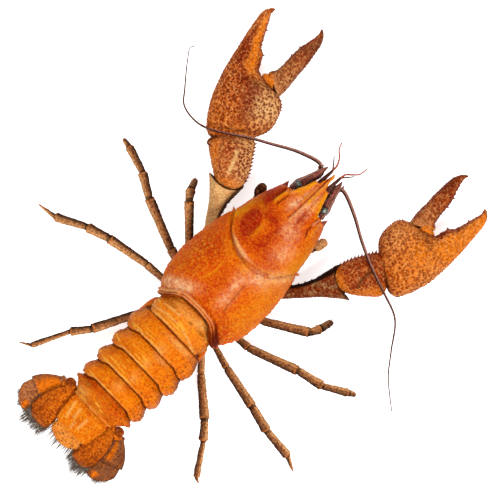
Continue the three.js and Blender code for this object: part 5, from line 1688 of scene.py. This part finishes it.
class CRAYFISH_OT_feelers(Operator):
    """Builds the long ringed feelers, the short forked ones, and the roots and scales that carry them"""

    bl_idname = "crayfish.feelers"
    bl_label = "Feelers"

    def execute(self, context):
        for name, side in SIDES.items():
            self.long_feeler(name, side)
            self.short_feeler(name, side)
            self.root(name, side)
            self.scale(name, side)
        return {"FINISHED"}

    def long_feeler(self, name, side):
        """A whip from inside its root, whose radius swells at each ring; it is dark along its upper rear side
        and, near the root, pale along its front."""
        points = [[3.7, 56.4, 11.6], *FEELERS[name]]
        grid, t, angle, length = whip(points, FEELER_RADIUS, 900, 14)
        ring = np.cos(2 * np.pi * t * length / 0.55)
        height = FEELER_RADIUS(t) * 0.03 * ring
        upper_rear = smooth(0.0, 0.4, np.cos(angle)) * smooth(-0.1, 0.35, np.sin(angle))
        masks = {
            "crease": 0.12 * smooth(-0.4, -0.95, ring) + 0.9 * upper_rear,
            "pale": 0.9 * smooth(0.1, -0.4, np.cos(angle)) * smooth(0.6, 0.2, t),
            "dark": 0.3 * smooth(0.2, 0.6, t) + 0.2 * smooth(-0.2, 0.4, np.cos(angle)),
        }
        grid = mirrored(grid, side)
        parts = [skin(raised(grid, height, side), masks, side)]
        piece(f"feeler_{name}_shell", parts, "feeler_shell", [f"feeler_{name}"])

    def short_feeler(self, name, side):
        """A dark stem that forks into a long reddish thread and a short one."""
        fork = FORKS[name]
        top = fork["stem"][-1]
        parts = []
        for points, radius, count, marks in (
            (fork["stem"], STEM_RADIUS, 60, {"dark": 0.75}),
            ([top, *fork["long"]], LONG_THREAD_RADIUS, 90, {"spot": 0.8}),
            ([top, *fork["short"]], SHORT_THREAD_RADIUS, 50, {"dark": 0.5}),
        ):
            grid, t, _, length = whip(points, radius, count, 14)
            grid = mirrored(grid, side)
            ring = np.cos(2 * np.pi * t * length / 0.5)
            parts.append(skin(raised(grid, radius(t) * 0.03 * ring, side), marks, side))
        node = f"short_feeler_{name}"
        piece(f"{node}_shell", parts, "feeler_shell", [node])

    def root(self, name, side):
        """Three stout cracked joints that the long feeler comes out of, and the spikes beside them."""
        grid, t, _, _ = whip(FEELER_ROOT, FEELER_ROOT_RINGS, 110, 60)
        grid = mirrored(grid, side)
        cracks = rough(grid, 0.8, 501)
        seams = band(t, 0.38, 0.025) + band(t, 0.68, 0.025)
        masks = {
            "crease": 0.8 * seams + 0.3 * smooth(0.1, 0.5, cracks),
            "dark": 0.25 + 0.5 * smooth(0.3, -0.4, cracks),
            "spot": 0.4 * smooth(0.2, -0.3, cracks),
            "pale": 0.7 * smooth(0.2, 0.7, cracks),
        }
        parts = [skin(raised(grid, 0.1 * cracks, side), masks, side)]
        for foot, way, size, radius in ROOT_SPIKES:
            spike = mirrored(thorn(foot, way, size, radius), side)
            parts.append(skin(spike, {"dark": 0.5, "spot": 0.6}, side))
        node = f"feeler_root_{name}"
        piece(f"{node}_shell", parts, "feeler_shell", [node])

    def scale(self, name, side):
        """The leaf-shaped scale over the root: a ridge along its outer edge and a lighter rim."""
        length = length_of(FEELER_SCALE)
        t, _, grid = limb_grid(
            length, SCALE_EDGE, lambda t: -SCALE_EDGE(t), SCALE_THICK, 90, 70, 2.0, ends=(0.2, 0.1)
        )
        share = grid[..., 0] / np.maximum(SCALE_EDGE(t), 0.1)
        grid = mirrored(on_line(grid, FEELER_SCALE), side)
        beads = grains(grid, 0.6, 0.3, 513, 0.8)
        height = 0.06 * rough(grid, 0.9, 511) + 0.16 * band(share, 0.4, 0.2) + 0.06 * beads
        masks = {
            "pale": 0.9 * band(share, 0.7, 0.18) + 0.35 * smooth(0.3, 0.7, beads),
            "dark": 0.5 + 0.3 * smooth(-0.2, -0.8, share),
            "spot": 0.4 * band(share, -0.2, 0.3),
        }
        node = f"feeler_scale_{name}"
        parts = [skin(raised(grid, height, side), masks, side)]
        piece(f"{node}_shell", parts, "feeler_shell", [node])


class CRAYFISH_OT_eyes(Operator):
    """Builds the stalked eyes beside the beak"""

    bl_idname = "crayfish.eyes"
    bl_label = "Eyes"

    def execute(self, context):
        for name, side in SIDES.items():
            stalk = mirrored(whip([EYE["root"], EYE["at"]], lambda t: 0.95, 24, 30)[0], side)
            ball = mirrored(knob(EYE["at"], (0.92 * EYE["radius"],) * 3, 44, 60), side)
            high = (ball[..., 2] - EYE["at"][2]) / EYE["radius"]
            cloudy = smooth(-0.3, 0.5, rough(ball, 0.7, 91))
            # pale is a painted highlight on the top of the eye; the lower half is darker.
            masks = {"pale": 0.75 * smooth(0.65, 0.9, high) * cloudy, "dark": smooth(0.75, 0.4, high)}
            parts = [skin(ball, masks, side), skin(stalk, {"crease": 0.8}, side)]
            piece(f"eye_{name}_shell", parts, "eye_shell", [f"eye_{name}"])
        return {"FINISHED"}


class CRAYFISH_OT_mouth_limbs(Operator):
    """Builds the pair of bent mouth limbs that show in front of the claws"""

    bl_idname = "crayfish.mouth_limbs"
    bl_label = "Mouth limbs"

    def execute(self, context):
        for name, side in SIDES.items():
            grid, t, _, _ = whip(MOUTH_LIMBS[name], MOUTH_GIRTH, 110, 56)
            grid = mirrored(grid, side)
            wrinkles = rough(grid, 0.9, 521)
            end = smooth(0.62, 0.72, t)
            masks = {
                "crease": 0.9 * band(t, 0.63, 0.03) + 0.35 * (side < 0),
                "dark": 0.8 * (1 - end * (side > 0)) * smooth(0.8, -0.2, wrinkles),
                "pale": 1.3 * end * (side > 0) + 0.2 * smooth(0.3, 0.8, wrinkles),
                "dot": 0.3 * smooth(0.3, 0.7, grains(grid, 0.6, 0.28, 523, 0.7)),
            }
            node = f"mouth_limb_{name}"
            parts = [skin(raised(grid, 0.12 * wrinkles, side), masks, side)]
            piece(f"{node}_shell", parts, "leg_shell", [node])
        return {"FINISHED"}


# ---- stage ----

FLOOR_HALF = 3.0  # half the floor's width, in metres
SENSOR_WIDTH = 36.0  # millimetres
VIEW_CENTRE = (-1.5, 25.0, 8.0)  # what the camera and the lights face, in the animal's coordinates
# Each light: where it stands from the view's centre and its width, in metres, and its power's setting.
LIGHTS = {
    "key_light": ((0.5, -0.1, 0.76), 0.34, "key_power"),
    "fill_light": ((-0.5, 0.2, 0.8), 0.6, "fill_power"),
}


class CRAYFISH_OT_stage(Operator):
    """Makes the pale floor, the soft studio light and the camera straight above"""

    bl_idname = "crayfish.stage"
    bl_label = "Stage"

    def execute(self, context):
        stage = context.scene.crayfish_stage
        scene = context.scene
        scene.view_settings.view_transform = "Standard"
        mesh = bpy.data.meshes.new("floor")
        corners = [(-1, -1, 0), (1, -1, 0), (1, 1, 0), (-1, 1, 0)]
        mesh.from_pydata([(FLOOR_HALF * x, FLOOR_HALF * y, z) for x, y, z in corners], [], [(0, 1, 2, 3)])
        mesh.materials.append(material("floor_finish"))
        floor = bpy.data.objects.new("floor", mesh)
        scene.collection.objects.link(floor)
        world = bpy.data.worlds.new("studio")
        world.use_nodes = True
        sky = world.node_tree.nodes["Background"]
        sky.inputs["Color"].default_value = (1, 1, 1, 1)
        sky.inputs["Strength"].default_value = stage.sky_strength
        scene.world = world
        centre = np.array(VIEW_CENTRE) * MM + to_frame()
        for name, (offset, size, power) in LIGHTS.items():
            data = bpy.data.lights.new(name, "AREA")
            data.shape = "SQUARE"
            data.size = size
            data.energy = getattr(stage, power)
            lamp = bpy.data.objects.new(name, data)
            scene.collection.objects.link(lamp)
            place = centre + np.array(offset)
            lamp.location = place
            way = centre - place
            tilt = math.acos(-way[2] / np.linalg.norm(way))
            lamp.rotation_euler = (tilt, 0, math.atan2(way[1], way[0]) - math.pi / 2)
        data = bpy.data.cameras.new("camera")
        data.lens = stage.lens
        data.sensor_width = SENSOR_WIDTH
        camera = bpy.data.objects.new("camera", data)
        scene.collection.objects.link(camera)
        camera.location = (centre[0], centre[1], centre[2] + stage.view_width * stage.lens / SENSOR_WIDTH)
        camera.rotation_euler = (0, 0, stage.turn)
        scene.camera = camera
        return {"FINISHED"}


# ---- settings and panel ----


def setting(name, description, default, **limits):
    """A number in the panel."""
    return FloatProperty(name=name, description=description, default=default, **limits)


def colour_setting(name, description, *looks):
    """A colour in the panel, whose default is the tone that looks as given."""
    default = tone(*looks)
    return FloatVectorProperty(name=name, description=description, subtype="COLOR", size=3, default=default)


class CrayfishSizes(PropertyGroup):
    bump_height: setting("Bump height", "Height of the shell's bumps, in millimetres", 0.3, min=0, max=1)
    hair_length: setting("Hair length", "Length of the fan's fringe", 0.0026, unit="LENGTH", min=0, max=0.01)


class CrayfishColours(PropertyGroup):
    shell: colour_setting("Carapace", "Colour of the back shield", 226, 84, 0)
    tail: colour_setting("Tail", "Colour of the tail plates", 242, 118, 2)
    claw: colour_setting("Claws", "Ground colour of the claws", 218, 104, 28)
    leg: colour_setting("Legs", "Colour of the walking legs", 132, 58, 24)
    fan: colour_setting("Fan", "Colour of the fan's side blades", 208, 90, 4)
    feeler: colour_setting("Feelers", "Colour of the feelers", 138, 80, 68)


class CrayfishStage(PropertyGroup):
    floor_tone: setting("Floor tone", "Lightness of the floor", 0.85, min=0, max=1)
    floor_glow: setting("Floor glow", "Light from below the floor", 0.7, min=0)
    sky_strength: setting("Sky strength", "Light from all round", 0.35, min=0)
    key_power: setting("Key power", "Large light on the right", 9.9, min=0)
    fill_power: setting("Fill power", "Large light on the left", 6.5, min=0)
    lens: setting("Lens", "Focal length in millimetres", 200.0, min=20)
    view_width: setting("View width", "Width of the view at the animal", 0.15, unit="LENGTH")
    turn: setting("Turn", "Turn of the view about the vertical", math.radians(45.9), subtype="ANGLE")


OPERATORS = (
    CRAYFISH_OT_carapace,
    CRAYFISH_OT_breast,
    CRAYFISH_OT_tail,
    CRAYFISH_OT_fan,
    CRAYFISH_OT_fringe,
    CRAYFISH_OT_claws,
    CRAYFISH_OT_legs,
    CRAYFISH_OT_feelers,
    CRAYFISH_OT_eyes,
    CRAYFISH_OT_mouth_limbs,
    CRAYFISH_OT_stage,
)
SETTINGS = {
    "crayfish_sizes": CrayfishSizes,
    "crayfish_colours": CrayfishColours,
    "crayfish_stage": CrayfishStage,
}


class CRAYFISH_PT_panel(Panel):
    """Lists the sizes, the colours and a button for each group of pieces"""

    bl_idname = "CRAYFISH_PT_panel"
    bl_label = "Cooked crayfish"
    bl_space_type = "VIEW_3D"
    bl_region_type = "UI"
    bl_category = "Crayfish"

    def draw(self, context):
        for name, kind in SETTINGS.items():
            settings = getattr(context.scene, name)
            box = self.layout.box()
            for label in kind.__annotations__:
                box.prop(settings, label)
        for operator in OPERATORS:
            self.layout.operator(operator.bl_idname)


def register():
    for kind in (*SETTINGS.values(), *OPERATORS, CRAYFISH_PT_panel):
        bpy.utils.register_class(kind)
    for name, kind in SETTINGS.items():
        setattr(bpy.types.Scene, name, PointerProperty(type=kind))


def unregister():
    for name in SETTINGS:
        delattr(bpy.types.Scene, name)
    for kind in (CRAYFISH_PT_panel, *reversed(OPERATORS), *SETTINGS.values()):
        bpy.utils.unregister_class(kind)


def main():
    register()
    for operator in OPERATORS:
        family, action = operator.bl_idname.split(".")
        getattr(getattr(bpy.ops, family), action)()


if __name__ == "__main__":
    main()
